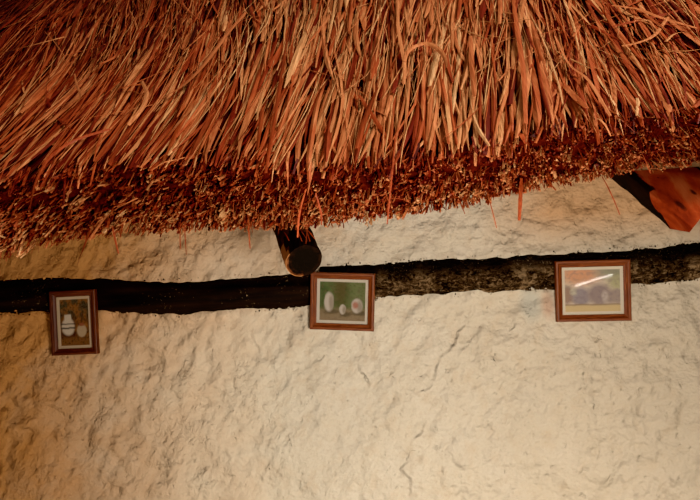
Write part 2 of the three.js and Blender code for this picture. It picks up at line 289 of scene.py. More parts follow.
def plaster_material():
    material, n = new_material("hand_laid_limewash", 0.9, Specular_IOR_Level=0.12)
    x, y, z = n.places()

    def swept(scale, detail, rough=0.60, warp=0.0):
        """Noise that leans the way the coat was laid on by hand."""
        return n.noise(1.0, detail, rough, warp, n.stretched(scale, (0, -0.5, 0)))

    outside = n.span(y, -0.2, -0.15, 1, 0)
    patch = n.noise(8, 5, 0.65, 0.4)
    lumps = swept((24, 24, 19), 4)
    sand = swept((150, 140, 125), 3, 0.65)
    colour = plaster_colour(n, x, z, outside, patch, sand, lumps)

    crack = n.attribute("crack")
    fade = n.attribute("crack_fade")
    near = n.math("ABSOLUTE", crack)
    # Painted shade along the cracks: a thin dark line where each crack opens.
    line = n.times(n.span(near, 0.0002, 0.0030, 1, 0), fade, n.span(n.noise(26, 4, 0.7), 0.46, 0.60))
    n.colour(n.mix(n.times(line, 0.26), colour, (0.32, 0.20, 0.11)))

    coarser = n.span(x, -0.65, 0.30, 2.5, 1.0)
    rubbed = n.span(n.noise(5.0, 3, 0.6, 0.5), 0.42, 0.60, 0.35, 1.3)
    waving = n.plus(n.span(x, -0.65, 0.30, 2.0, 1.0), n.span(x, 0.3, 0.9, 0, 0.55))
    knuckles = n.noise(1.0, 3, 0.55, vector=n.stretched((13, 12, 17)))
    dents = n.noise(1.0, 3, 0.55, vector=n.stretched((12, 10, 26)))
    step = n.times(n.span(crack, -0.005, 0.005, -0.5, 0.5), n.times(n.span(near, 0, 0.024, 1, 0), fade))
    n.bump(
        (n.times(swept((10, 8, 7), 2), waving), 0.9, 0.036),
        (n.times(knuckles, n.span(x, 0, 0.7, 1.1, 2.1)), 1.0, 0.0125),
        (n.times(n.span(swept((19, 14, 9), 6), 0.60, 0.63), n.span(x, -0.2, 0.45, 1, 0.12)), 0.9, 0.0024),
        (n.times(swept((34, 32, 17), 5), n.times(n.span(x, -0.7, 0.5, 1.15, 0.15), rubbed)), 1.0, 0.0073),
        (n.times(lumps, n.times(coarser, rubbed)), 1.0, 0.0070),
        (step, 1.0, 0.0056),
        (n.times(dents, n.span(z, 1.90, 1.97)), 1.0, 0.010),
        (n.span(swept((44, 40, 33), 3, 0.6, 0.3), 0.28, 0.36), 0.9, 0.0030),
        (n.times(sand, coarser), 1.0, 0.0017),
        (n.noise(300, 2, 0.6), 0.6, 0.0007),
    )
    return material


def tarred_material():
    material, n = new_material("tarred_log_skin", 0.6, Specular_IOR_Level=0.10)
    along = n.stretched((4, 40, 40))
    grain = n.noise(1.0, 5, 0.6, 0.3, along)
    dust = n.times(n.noise(120, 4, 0.75), n.span(n.noise(6, 3), 0.40, 0.62, 0.85, 1.0))
    colour = n.ramp(grain, (0.35, (0.0020, 0.0010, 0.0006)), (0.72, (0.026, 0.012, 0.005)))
    x = n.places()[0]
    dusty = n.times(n.span(dust, 0.60, 0.66, 0, 0.85), n.span(x, -0.8, -0.3, 0.15, 1))
    colour = n.mix(dusty, colour, (0.46, 0.33, 0.20))
    n.colour(colour)
    n.rough(n.span(grain, 0.3, 0.7, 0.5, 0.75))
    n.bump((grain, 0.5, 0.004), (n.noise(30, 3), 0.3, 0.004))
    return material


def barked_material():
    material, n = new_material("barked_log_skin", 0.85, Specular_IOR_Level=0.10)
    height = n.places()[2]
    fibres = n.noise(1.0, 6, 0.7, 0.6, n.stretched((24, 85, 85), (0, 0.05, 0)))
    flakes = n.noise(1.0, 5, 0.75, 0.8, n.stretched((62, 88, 88)))
    colour = n.ramp(
        n.plus(flakes, n.times(n.less(n.noise(13, 3), 0.525), 0.45)),
        (0.38, (0.008, 0.004, 0.001)),
        (0.50, (0.095, 0.052, 0.022)),
        (0.64, (0.400, 0.260, 0.140)),
    )
    colour = n.mix(n.span(fibres, 0.36, 0.52, 0.85, 0), colour, (0.004, 0.002, 0.001))
    # Painted shade: the upper half of the log, above a ragged line, is painted near black.
    ragged = n.plus(height, n.times(n.less(flakes, 0.5), 0.12))
    colour = n.mix(n.span(ragged, 1.895, 1.925, 0, 0.9), colour, (0.004, 0.002, 0.001))
    specks = n.times(n.span(n.noise(140, 4, 0.75), 0.60, 0.66), n.span(n.noise(9, 3), 0.44, 0.56))
    colour = n.mix(n.times(specks, 0.7), colour, (0.42, 0.31, 0.19))
    n.colour(colour)
    n.bump((fibres, 1.0, 0.014), (flakes, 1.0, 0.009))
    return material


def pole_material(name, dark, mid, light, turn, fine=70, knots=(), bare_highlight=None):
    """Weathered round wood whose grain runs along its length, with bark where the piece's attribute says so.
    knots are places along the wall, heights and half lengths. bare_highlight is the colour of wood laid bare,
    painted bright as a highlight on the lit side."""
    material, n = new_material(name, 0.85, Specular_IOR_Level=0.10)
    along = n.stretched((fine, 6, fine), turn)
    grain = n.noise(1.0, 5, 0.6, 0.4, along)
    blotch = n.noise(11, 4, 0.6, 0.5)
    colour = n.ramp(grain, (0.3, dark), (0.52, mid), (0.75, light))
    colour = n.mix(n.span(blotch, 0.5, 0.68, 0, 0.75), colour, dark)
    patch = n.noise(22, 4, 0.6, 0.6)
    bark = n.span(n.plus(n.attribute("bark"), n.times(n.less(patch, 0.5), 2.2)), 0.44, 0.52)
    barked = n.mix(n.span(grain, 0.4, 0.7), (0.004, 0.002, 0.001), (0.026, 0.011, 0.005))
    barked = n.mix(n.span(n.attribute("bark"), 1.3, 1.5), barked, (0.006, 0.0035, 0.0015))
    colour = n.mix(bark, colour, barked)
    # Painted highlight: the bare strip is painted bright, as the lit side of the wood.
    if bare_highlight:
        colour = n.mix(n.span(n.attribute("bark"), -0.3, -0.1, 0.8, 0), colour, bare_highlight)
    x, _, z = n.places()
    for middle_x, middle_z, size in knots:
        a, b = n.less(x, middle_x), n.less(z, middle_z)
        along = n.math("DIVIDE", n.plus(n.times(a, 0.27), n.times(b, -0.96)), size)
        across = n.math("DIVIDE", n.plus(n.times(a, 0.96), n.times(b, 0.27)), 0.45 * size)
        spot = n.span(n.plus(n.hypot(along, across), n.times(patch, 1.6)), 1.3, 2.0, 0.9, 0)
        colour = n.mix(spot, colour, (0.030, 0.006, 0.002))
    n.colour(colour)
    n.bump((grain, 0.7, 0.004), (blotch, 0.4, 0.006))
    return material


def frame_material():
    material, n = new_material("varnished_moulding", 0.4, Specular_IOR_Level=0.3)
    grain_map = n.put("UVMap", {"uv_map": "grain"}).outputs["UV"]
    along = n.stretched((22, 420, 1), vector=grain_map)
    grain = n.noise(1.0, 5, 0.6, 0.8, along)
    colour = n.ramp(
        grain,
        (0.3, (0.062, 0.014, 0.003)),
        (0.55, (0.185, 0.045, 0.010)),
        (0.8, (0.360, 0.112, 0.027)),
    )
    x = n.places()[0]
    # Painted shade: the mouldings are painted darker toward the left.
    colour = n.mix(n.span(x, -0.6, -0.1, 0.62, 0), colour, (0.030, 0.003, 0.001))
    n.colour(colour)
    n.rough(n.span(grain, 0.3, 0.7, 0.4, 0.6))
    n.bump((grain, 0.25, 0.0006))
    return material


def glass_material():
    material, n = new_material("picture_glass", 0.03, Alpha=0.15, IOR=1.5, Specular_IOR_Level=0.8)
    n.colour((0.0, 0.0, 0.0, 1))
    n.bump((n.noise(5, 0), 0.25, 0.004))
    return material


def board_material():
    material, n = new_material("brown_hardboard", 0.8)
    fleck = n.noise(700, 3, 0.7)
    n.colour(n.ramp(fleck, (0.35, (0.10, 0.05, 0.025)), (0.65, (0.22, 0.12, 0.06))))
    n.bump((fleck, 0.3, 0.0004))
    return material


def iron_material():
    material, n = new_material("dull_iron", 0.5, Metallic=0.9)
    rust = n.noise(400, 3, 0.6)
    n.colour(n.ramp(rust, (0.4, (0.22, 0.20, 0.19)), (0.65, (0.20, 0.09, 0.04))))
    n.bump((rust, 0.3, 0.0003))
    return material


def rope_material():
    material, n = new_material("grass_rope", 0.9, Specular_IOR_Level=0.15)
    strand = n.noise(160, 4, 0.6, 1.5)
    n.colour(n.ramp(strand, (0.35, (0.10, 0.045, 0.018)), (0.65, (0.38, 0.22, 0.10))))
    n.bump((strand, 0.8, 0.002))
    return material


def floor_material():
    material, n = new_material("pale_floor", 0.9)
    n.colour((0.72, 0.70, 0.67, 1))
    return material


STRAW = straw_material()
CORE = core_material()
PLASTER = plaster_material()
TARRED = tarred_material()
BARKED = barked_material()
RAFTER_TURN = (-PITCH, 0, 0)
POLE = pole_material(
    "rafter_pole_wood", (0.020, 0.006, 0.002), (0.090, 0.028, 0.010), (0.240, 0.090, 0.034), RAFTER_TURN,
    bare_highlight=(0.460, 0.190, 0.070),
)
HEWN = pole_material(
    "hewn_red_timber", (0.110, 0.011, 0.002), (0.300, 0.044, 0.011), (0.430, 0.130, 0.050), RAFTER_TURN, 21,
    [(1.114, 1.974, 0.018), (1.080, 2.030, 0.010), (1.160, 2.010, 0.011)],
)
ALONG_WALL = (0, 0, math.pi / 2)
PLATE = pole_material(
    "wall_plate_wood", (0.020, 0.011, 0.007), (0.080, 0.040, 0.022), (0.160, 0.085, 0.045), ALONG_WALL,
)
BATTEN = pole_material(
    "batten_pole_wood", (0.070, 0.036, 0.018), (0.200, 0.110, 0.055), (0.340, 0.210, 0.110), ALONG_WALL,
)
MOULDING = frame_material()
GLASS = glass_material()
BOARD = board_material()
IRON = iron_material()
ROPE = rope_material()


# Pieces
def add_piece(name, mesh, material, replaces=(), smooth=True):
    """Adds a mesh as a piece of the body, with its material, in place of some nodes."""
    piece = bpy.data.objects.new(name, mesh)
    scene.collection.objects.link(piece)
    mesh.materials.append(material)
    mesh.polygons.foreach_set("use_smooth", [smooth] * len(mesh.polygons))
    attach(piece, "root")
    if replaces:
        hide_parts(*replaces)


def mesh_from(name, bm):
    mesh = bpy.data.meshes.new(name)
    bm.to_mesh(mesh)
    bm.free()
    return mesh


def add_shape(name, bm, material, replaces=(), smooth=True):
    add_piece(name, mesh_from(name, bm), material, replaces, smooth)


def finish_node(name, material):
    """Gives a finish to a node that is shown as the solids have it."""
    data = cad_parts[name].data
    data.materials.clear()
    data.materials.append(material)


def paint(mesh, name, values):
    attribute = mesh.attributes.new(name, "FLOAT", "POINT")
    attribute.data.foreach_set("value", np.ascontiguousarray(values, np.float32).ravel())


def tube(segments, rings, cap_ends=True):
    """A tube of unit radius and unit length along Z, with rings of vertices at even steps."""
    bm = bmesh.new()
    bmesh.ops.create_cone(bm, cap_ends=cap_ends, segments=segments, radius1=1, radius2=1, depth=1)
    long_edges = [e for e in bm.edges if abs(e.verts[0].co.z - e.verts[1].co.z) > 0.5]
    bmesh.ops.subdivide_edges(bm, edges=long_edges, cuts=rings - 2, use_grid_fill=True)
    return bm


# Straws, each a closed three-sided prism bent along its own line
def straw_template(rings):
    bm = tube(3, rings)
    bmesh.ops.recalc_face_normals(bm, faces=bm.faces)
    bmesh.ops.triangulate(bm, faces=bm.faces)
    bm.verts.index_update()
    ring = np.array([round((v.co.z + 0.5) * (rings - 1)) for v in bm.verts])
    angle = np.array([math.atan2(v.co.y, v.co.x) for v in bm.verts])
    corner = np.round((angle - angle.min()) / (2 * math.pi / 3)).astype(int) % 3
    faces = np.array([[v.index for v in f.verts] for f in bm.faces])
    bm.free()
    return ring, corner, faces


def many_copies(name, points, faces):
    """A mesh of many copies of one form, from each copy's points and the form's faces."""
    count, per, _ = points.shape
    mesh = bpy.data.meshes.new(name)
    all_faces = (faces[None] + per * np.arange(count)[:, None, None]).reshape(-1, 3)
    mesh.from_pydata(points.reshape(-1, 3), [], all_faces)
    return mesh


def face_outwards(mesh):
    """Turns the faces of closed straws outwards where their template came out inside out."""
    bm = bmesh.new()
    bm.from_mesh(mesh)
    if bm.calc_volume(signed=True) < 0:
        bmesh.ops.reverse_faces(bm, faces=bm.faces)
        bm.to_mesh(mesh)
    bm.free()


def straws(name, places, width, fold, roll, tint, keep=slice(None)):
    """One piece of many straws. places are arrays of straws by rings: along the wall, up the slope and out of
    it. width, roll and tint have a number for each straw or for each of its rings."""
    lines = roof_points(*places)[keep]
    width, fold, roll, tint = width[keep], fold[keep], roll[keep], tint[keep]
    count, rings, _ = lines.shape
    ring, corner, faces = straw_template(rings)
    tangent = np.gradient(lines, axis=1)
    tangent /= np.linalg.norm(tangent, axis=2, keepdims=True)
    side = np.cross(tangent, np.array(OUT_OF_ROOF))
    side /= np.linalg.norm(side, axis=2, keepdims=True)
    lift = np.cross(side, tangent)
    roll = roll.reshape(count, -1, 1)
    side, lift = side * np.cos(roll) + lift * np.sin(roll), lift * np.cos(roll) - side * np.sin(roll)
    width = width.reshape(count, -1, 1)
    half = width / 2
    ridge = width * fold[:, None, None]
    corners = np.stack([lines - side * half, lines + side * half, lines + lift * ridge], 2)
    mesh = many_copies(name, corners[:, ring, corner], faces)
    tint = np.clip(tint, 0, 1)
    paint(mesh, "tint", np.repeat(tint, len(ring)) if tint.ndim == 1 else tint[:, ring])
    face_outwards(mesh)
    add_piece(name, mesh, STRAW, smooth=False)


def run(start, change, share):
    """A number for each ring of each straw, which goes from a start by a share of a change."""
    return start[:, None] + change[:, None] * share


def patchy(x, up, scale, seed):
    """Slow variation over the roof, from about -1 to 1, the same each run."""
    values = [noise.noise(Vector((a * scale, b * scale * 0.5, seed))) for a, b in zip(x.ravel(), up.ravel())]
    return 1.8 * np.array(values).reshape(x.shape)


# How far a straw leans off the slope's own direction, in degrees, at places along the wall
LEAN_AT_EAVE = [(-2.2, 1), (-0.6, -1), (-0.15, 3), (0.15, 1), (0.45, 6), (0.9, 6.5), (1.5, 6), (2.2, 1)]
LEAN_ABOVE = [
    (-2.2, -3), (-1.2, -9), (-0.5, -15), (-0.15, -8), (0.15, -4.5), (0.45, 3.5), (0.75, 6.5), (1.2, 8),
    (1.7, 4), (2.2, 2),
]
LEAN_HEIGHT = 0.8  # up the slope, from where LEAN_ABOVE holds
# What is added to a straw's tint at places along the wall
TONE_ALONG = [(-2.2, -0.04), (-0.8, -0.25), (-0.3, -0.12), (0.15, 0.05), (0.8, 0.0), (1.3, -0.09), (2.2, 0.0)]


def lean(x, up):
    """How far straws lean there, in radians."""
    share = np.clip(up / LEAN_HEIGHT, 0, 1)
    low = np.interp(x, *zip(*LEAN_AT_EAVE))
    high = np.interp(x, *zip(*LEAN_ABOVE))
    return np.radians(low * (1 - share) + high * share)


def blade_path(x, start, length, turn, rings):
    """Where blades lie along the wall and up the slope, each leaning as the thatch does there."""
    count = len(x)
    t = np.linspace(0, 1, rings)[None]
    along = run(start, length, t)
    across = np.repeat(x[:, None], rings, 1)
    for i in range(1, rings):
        slant = np.tan(lean(across[:, i - 1], along[:, i - 1]) + turn)
        across[:, i] = across[:, i - 1] + slant * length / (rings - 1)
    bent = 1 + 2.5 * (rng.random(count) < 0.12)
    across += (rng.normal(0, 0.022, count) * bent * length)[:, None] * 4 * t * (1 - t)
    across += rng.normal(0, 0.0011, count)[:, None] * np.sin(9 * t + 6 * x[:, None])
    limit = THATCH_HALF + rng.uniform(-0.004, 0.012, count)[:, None]
    return np.clip(across, -limit, limit), along


def blade_layer(name, count, span, wide, lengths, heights, tones, rings, spread=0.03, stray=0.02):
    """Long blades that lie down the slope, their lower tips free. wide is a middle width and a spread of its
    logarithm, heights are out of the thatch's face, and tones are a middle and a spread."""
    t = np.linspace(0, 1, rings)[None]
    x = rng.uniform(-THATCH_HALF, THATCH_HALF, count)
    height = rng.uniform(*heights, count)
    tuft = np.maximum(patchy(x, 0 * x, 9.0, 6.5), -0.4)
    ragged = np.interp(x, [-0.5, 0.1], [2.0, 1.0])
    edge = cut_of_eave(x, THATCH_THICK) - ragged * (0.014 * tuft + rng.normal(0.0, 0.012, count))
    start = np.maximum(rng.uniform(*span, count), edge)
    crossing = rng.random(count) < stray * np.interp(x, [0.7, 0.95, 1.5, 1.8], [1, 6, 6, 1])
    length = rng.uniform(*lengths, count) * np.where(crossing, 0.35, 1)
    length = np.minimum(length, SLOPE_LENGTH + 0.01 - start)
    turn = 0.04 * patchy(x, start, 5.0, 1.5) + rng.normal(0, spread, count)
    turn = turn + crossing * rng.normal(0, 0.35, count)
    across, along = blade_path(x, start, length, turn, rings)
    lift = (rng.gamma(1.3, 0.004, count) + 0.012 * crossing)[:, None] * (1 - t) ** 3
    sink = rng.uniform(0.012, 0.035, count)[:, None] * t**1.5
    over = np.maximum(cut_of_eave(across, THATCH_THICK) - along, 0)
    out = THATCH_THICK + height[:, None] + lift - sink - 0.9 * over - 4 * over**2
    taper = 0.5 + 0.5 * np.sin(math.pi * np.clip(0.15 + 0.8 * t, 0, 1))
    width = (wide[0] * np.exp(rng.normal(0, wide[1], count))).clip(0.0012, 0.026)[:, None] * taper
    width[:, 0] *= rng.uniform(0.08, 0.8, count)
    width *= np.interp(x, [-1.2, -0.1], [0.68, 1.0])[:, None]
    fold = rng.uniform(0.10, 0.34, count)
    roll = run(rng.normal(0, 0.3, count), rng.normal(0, 0.7, count), t - 0.5)
    tone = tones[0] + np.interp(x, *zip(*TONE_ALONG)) + 0.09 * patchy(x, start, 2.5, 4.0)
    # Painted shade: blades high up at the far left are darker, toward the dark upper left corner.
    tone = tone - np.clip(-0.55 - x, 0, 0.5) * np.clip(start + length / 2 - 0.45, 0, 0.5)
    tone = tone + rng.normal(0, tones[1], count)
    # Painted shade: tips that droop past the cut are darker.
    tint = tone[:, None] + rng.normal(0, 0.05, (count, rings)) - 6 * over.clip(0, 0.04)
    straws(name, (across, along, out), width, fold, roll, tint, length > 0.05)


def butt_layer(name, count, rings=2):
    """The cut ends of the straws in the face of the eave, in tufts with dark hollows between them, and with
    painted shade on the ends set further in and on those high up under the blade tips. They lie flatter than
    the roof, so each goes deeper into the thatch the higher it gets."""
    t = np.linspace(0, 1, rings)[None]
    x = rng.uniform(-THATCH_HALF, THATCH_HALF, count)
    height = rng.random(count)
    out0 = THATCH_THICK * height
    tuft = patchy(x, 2 * out0, 30.0, 8.0)
    start = cut_of_eave(x, out0) + rng.normal(0, 0.0045, count) - 0.010 * tuft
    length = rng.uniform(0.035, 0.06, count)
    along = run(start, length, t)
    across = run(x, length * (lean(x, 0 * x) + rng.normal(0, 0.20, count)), t)
    out = run(out0, length * rng.normal(-0.10, 0.24, count), t).clip(0.002, THATCH_THICK - 0.002)
    width = rng.gamma(4.0, 0.00086, count) * np.interp(x, [-0.6, 0.0], [0.82, 1.0])
    fold = rng.uniform(0.4, 0.9, count)
    roll = rng.uniform(-1.6, 1.6, count)
    # Painted shade: ends set further in, and those high up under the blade tips, are darker.
    tone = 0.44 + 0.22 * tuft - 0.22 * height**2 + rng.normal(0, 0.18, count)
    tone = tone + 0.22 * (rng.random(count) < 0.09 * (1 - height))
    tone = tone + np.interp(x, [-0.7, -0.3, 0.8, 1.1], [0.15, 0.07, 0, -0.04])
    hollow = patchy(x, 2 * out0, 30.0, 3.0) < 0.75 * height**2 - 0.72
    keep = (abs(across).max(1) < THATCH_HALF + 0.01) & ~hollow
    straws(name, (across, along, out), width, fold, roll, tone, keep)


def fringe_layer(name, count, rings=4):
    """Loose straws that droop from the lower edge of the eave."""
    t = np.linspace(0, 1, rings)[None]
    x = rng.uniform(-THATCH_HALF, THATCH_HALF, count)
    out0 = rng.gamma(1.2, 0.018, count).clip(0, 0.15)
    start = cut_of_eave(x, out0) - rng.gamma(1.2, 0.006, count)
    length = rng.uniform(0.05, 0.10, count)
    across = run(x, length * rng.normal(0, 0.2, count), t - 1)
    places = (across, run(start, length, t), run(out0 + 0.002, 0.4 * length, t))
    width = rng.gamma(5.0, 0.0007, count)[:, None] * (0.5 + 0.5 * t)
    fold = rng.uniform(0.1, 0.5, count)
    roll = rng.uniform(-1.6, 1.6, count)
    tone = 0.40 + rng.normal(0, 0.15, count)
    straws(name, places, width, fold, roll, tone, abs(across).max(1) < THATCH_HALF + 0.01)


def under_layer(name, count, rings=4):
    """The underside of the thatch, as it shows between the battens."""
    t = np.linspace(0, 1, rings)[None]
    x = rng.uniform(-THATCH_HALF, THATCH_HALF, count)
    start = rng.uniform(-0.05, SLOPE_LENGTH - 0.15, count)
    start = np.maximum(start, cut_of_eave(x, 0) + 0.002)
    length = np.minimum(rng.uniform(0.25, 0.6, count), SLOPE_LENGTH - start)
    across = run(x, length * rng.normal(0, 0.05, count), t)
    out = rng.uniform(0.003, 0.016, count)[:, None] + 0.012 * t
    width = rng.gamma(4.0, 0.0026, count)[:, None] * (0.7 + 0.3 * t)
    fold = rng.uniform(0.05, 0.3, count)
    roll = math.pi + rng.normal(0, 0.4, count)
    tone = 0.50 + rng.normal(0, 0.14, count)
    keep = abs(across).max(1) < THATCH_HALF + 0.005
    straws(name, (across, run(start, length, t), out), width, fold, roll, tone, keep)


def end_layer(name, side, count, rings=4):
    """The straws that show in one cut end of the roof, lying in the layers they were laid in."""
    t = np.linspace(0, 1, rings)[None]
    out0 = rng.uniform(0.004, THATCH_THICK, count)
    start = rng.uniform(-0.05, SLOPE_LENGTH - 0.08, count)
    start = np.maximum(start, cut_of_eave(np.full(count, side * THATCH_HALF), out0) + 0.002)
    length = np.minimum(rng.uniform(0.12, 0.4, count), SLOPE_LENGTH - start)
    across = side * (THATCH_HALF - rng.uniform(0.0, 0.016, count)[:, None])
    out = run(out0, -0.08 * length, t) + rng.normal(0, 0.003, count)[:, None] * np.sin(5 * t)
    out = out.clip(0.003, THATCH_THICK + 0.006)
    width = rng.gamma(4.0, 0.0017, count)[:, None] * (0.7 + 0.3 * t)
    fold = rng.uniform(0.1, 0.5, count)
    roll = side * math.pi / 2 + rng.normal(0, 0.3, count)
    tone = 0.48 + rng.normal(0, 0.16, count)
    straws(name, (across, run(start, length, t), out), width, fold, roll, tone)


def top_layer(name, count, rings=2):
    """The thatch cut square at the top of the slope."""
    from_top = np.linspace(0, 1, rings)[None] - 1
    x = rng.uniform(-THATCH_HALF, THATCH_HALF, count)
    out = rng.uniform(0.004, THATCH_THICK - 0.004, count)[:, None]
    along = (SLOPE_LENGTH + rng.normal(0, 0.004, count))[:, None] + 0.05 * from_top
    across = run(x, -rng.normal(0, 0.004, count), from_top)
    width = rng.gamma(4.0, 0.0024, count)
    fold = rng.uniform(0.3, 0.8, count)
    roll = rng.uniform(-3, 3, count)
    tone = 0.46 + rng.normal(0, 0.16, count)
    straws(name, (across, along, out), width, fold, roll, tone)


# Blades that have come loose and curl or hang: a width, and places along the wall, up the slope and out of it
LOOSE_BLADES = [
    (0.0132, [(0.515, 0.455, 0.2), (0.53, 0.53, 0.2), (0.57, 0.57, 0.2), (0.6, 0.54, 0.2), (0.62, 0.46, 0.2),
              (0.62, 0.39, 0.2)]),
    (0.0035, [(-0.24, 0.43, 0.195), (-0.185, 0.49, 0.195), (-0.11, 0.605, 0.195)]),
    (0.0045, [(-0.26, 0.445, 0.19), (-0.225, 0.45, 0.19), (-0.19, 0.465, 0.19)]),
    (0.0120, [(-0.2, 0.475, 0.195), (-0.155, 0.37, 0.195), (-0.14, 0.275, 0.195), (-0.15, 0.19, 0.195)]),
    (0.0075, [(-0.19, 0.175, 0.195), (-0.255, 0.12, 0.195), (-0.28, 0.035, 0.195), (-0.3, -0.025, 0.165),
              (-0.315, -0.06, 0.12)]),
    (0.0088, [(-0.07, -0.055, 0.135), (-0.11, -0.07, 0.12), (-0.14, -0.085, 0.105), (-0.175, -0.115, 0.075)]),
    (0.0150, [(-0.005, 1.05, 0.195), (-0.025, 0.845, 0.195), (-0.04, 0.585, 0.195), (-0.065, 0.425, 0.195),
              (-0.11, 0.335, 0.195)]),
    (0.0095, [(0.15, 1.145, 0.195), (0.185, 0.53, 0.195), (0.21, 0.155, 0.195), (0.215, -0.055, 0.175)]),
    (0.0120, [(0.17, 0.235, 0.195), (0.18, 0.14, 0.195), (0.19, 0.015, 0.195)]),
    (0.0132, [(1.065, 0.445, 0.2), (1.105, 0.45, 0.2), (1.16, 0.495, 0.2), (1.24, 0.635, 0.2)]),
    (0.0110, [(1.135, 0.795, 0.195), (1.19, 0.73, 0.195), (1.22, 0.65, 0.195), (1.285, 0.545, 0.195)]),
    (0.0110, [(1.18, 0.465, 0.195), (1.215, 0.505, 0.195), (1.255, 0.515, 0.195)]),
    (0.0030, [(0.97, 0.02, 0.15), (0.99, 0.0, 0.13), (1.005, -0.025, 0.1)]),
    (0.0035, [(0.485, 0.04, 0.195), (0.475, -0.08, 0.165), (0.46, -0.15, 0.095)]),
    (0.0036, [(0.39, -0.12, 0.135), (0.415, -0.125, 0.125), (0.445, -0.125, 0.12), (0.47, -0.115, 0.13),
              (0.505, -0.115, 0.125)]),
    (0.0028, [(-0.71, 1.025, 0.195), (-0.62, 0.89, 0.195), (-0.525, 0.74, 0.195)]),
    (0.0032, [(-0.79, 0.865, 0.195), (-0.815, 1.12, 0.195), (-0.845, 1.46, 0.195)]),
    (0.0075, [(-0.785, 0.84, 0.19), (-0.7, 0.88, 0.19), (-0.615, 0.96, 0.19)]),
    (0.0030, [(-0.14, 0.095, 0.19), (-0.12, 0.115, 0.19), (-0.105, 0.135, 0.19)]),
    (0.0088, [(0.76, 0.065, 0.055), (0.745, -0.015, -0.005)]),
    (0.0028, [(0.68, 0.05, 0.04), (0.695, -0.025, -0.015)]),
    (0.0024, [(0.935, 0.06, 0.05), (0.96, -0.015, -0.005)]),
    (0.0042, [(0.3, -0.095, 0.155), (0.285, -0.13, 0.115), (0.28, -0.165, 0.085)]),
    (0.0042, [(0.32, -0.105, 0.15), (0.33, -0.14, 0.12), (0.33, -0.155, 0.105)]),
    (0.0050, [(0.735, 0.29, 0.195), (0.775, 0.36, 0.195), (0.81, 0.43, 0.195)]),
    (0.0100, [(0.4, 0.29, 0.185), (0.435, 0.155, 0.185), (0.47, 0.035, 0.185)]),
    (0.0150, [(0.445, 0.3, 0.195), (0.42, 0.13, 0.195), (0.405, -0.01, 0.195)]),
    (0.0105, [(0.51, 1.05, 0.195), (0.505, 0.74, 0.195), (0.515, 0.45, 0.195), (0.51, 0.315, 0.195)]),
    (0.0130, [(0.705, 0.625, 0.195), (0.685, 0.415, 0.195), (0.67, 0.21, 0.195)]),
    (0.0130, [(0.87, 0.94, 0.195), (0.835, 0.635, 0.195), (0.8, 0.325, 0.195), (0.76, 0.05, 0.195)]),
    (0.0088, [(0.925, 0.57, 0.195), (0.915, 0.35, 0.195), (0.935, 0.25, 0.195), (0.935, 0.06, 0.195)]),
    (0.0028, [(1.125, 0.495, 0.2), (1.145, 0.615, 0.2), (1.175, 0.585, 0.2), (1.17, 0.525, 0.2)]),
    (0.0030, [(0.26, 0.04, -0.02), (0.28, -0.03, -0.02)]),
    (0.0026, [(0.25, 0.025, -0.02), (0.275, -0.03, -0.02)]),
    (0.0030, [(0.26, 0.03, -0.02), (0.29, -0.02, -0.02)]),
    (0.0024, [(0.215, 0.015, -0.02), (0.23, -0.015, -0.025)]),
    (0.0024, [(0.24, 0.035, -0.02), (0.26, -0.02, -0.025)]),
    (0.0020, [(0.27, 0.03, -0.02), (0.27, -0.03, -0.025)]),
    (0.0110, [(-0.21, -0.03, 0.05), (-0.23, -0.06, 0.01), (-0.25, -0.07, -0.02)]),
    (0.0026, [(-0.01, -0.01, 0.04), (-0.02, -0.03, -0.02)]),
    (0.0026, [(0.0, -0.01, 0.04), (0.0, -0.055, -0.02)]),
    (0.0032, [(0.14, 0.02, 0.04), (0.145, -0.045, -0.02)]),
    (0.0045, [(-0.17, -0.01, 0.04), (-0.165, -0.035, -0.02)]),
    (0.0070, [(-0.43, 0.575, 0.195), (-0.385, 0.475, 0.195), (-0.34, 0.39, 0.195), (-0.355, 0.365, 0.195),
              (-0.38, 0.34, 0.195)]),
]
# Shifts along the wall that copy blades past the photo's edges, and between which places the copies may lie
LOOSE_COPIES = [(-1.50, -2.15, -0.85), (1.75, 1.35, 2.15)]


def loose_blades(rings=14):
    placed = list(LOOSE_BLADES)
    for shift, low, high in LOOSE_COPIES:
        for width, points in LOOSE_BLADES:
            moved = [(x + shift, up, out) for x, up, out in points]
            on_slope = min(up for _, up, _ in points) > 0.1
            if on_slope and all(low < x < high for x, _, _ in moved):
                placed.append((width, moved))
    count = len(placed)
    t = np.linspace(0, 1, rings)[None]
    across, along, out = np.stack([curve_through(points, rings) for _, points in placed]).transpose(2, 0, 1)
    out = out + 0.004 * np.sin(math.pi * t)
    width = np.array([w for w, _ in placed])[:, None] * (0.55 + 0.45 * np.sin(math.pi * (0.1 + 0.8 * t)))
    roll = run(rng.normal(0, 0.25, count), rng.normal(0, 0.8, count), t - 0.5)
    hangs = np.array([min(up for _, up, _ in points) < 0.05 for _, points in placed])
    tint = 0.62 - 0.22 * hangs + rng.normal(0, 0.07, count)
    straws("loose_blades", (across, along, out), width, np.full(count, 0.10), roll, tint)


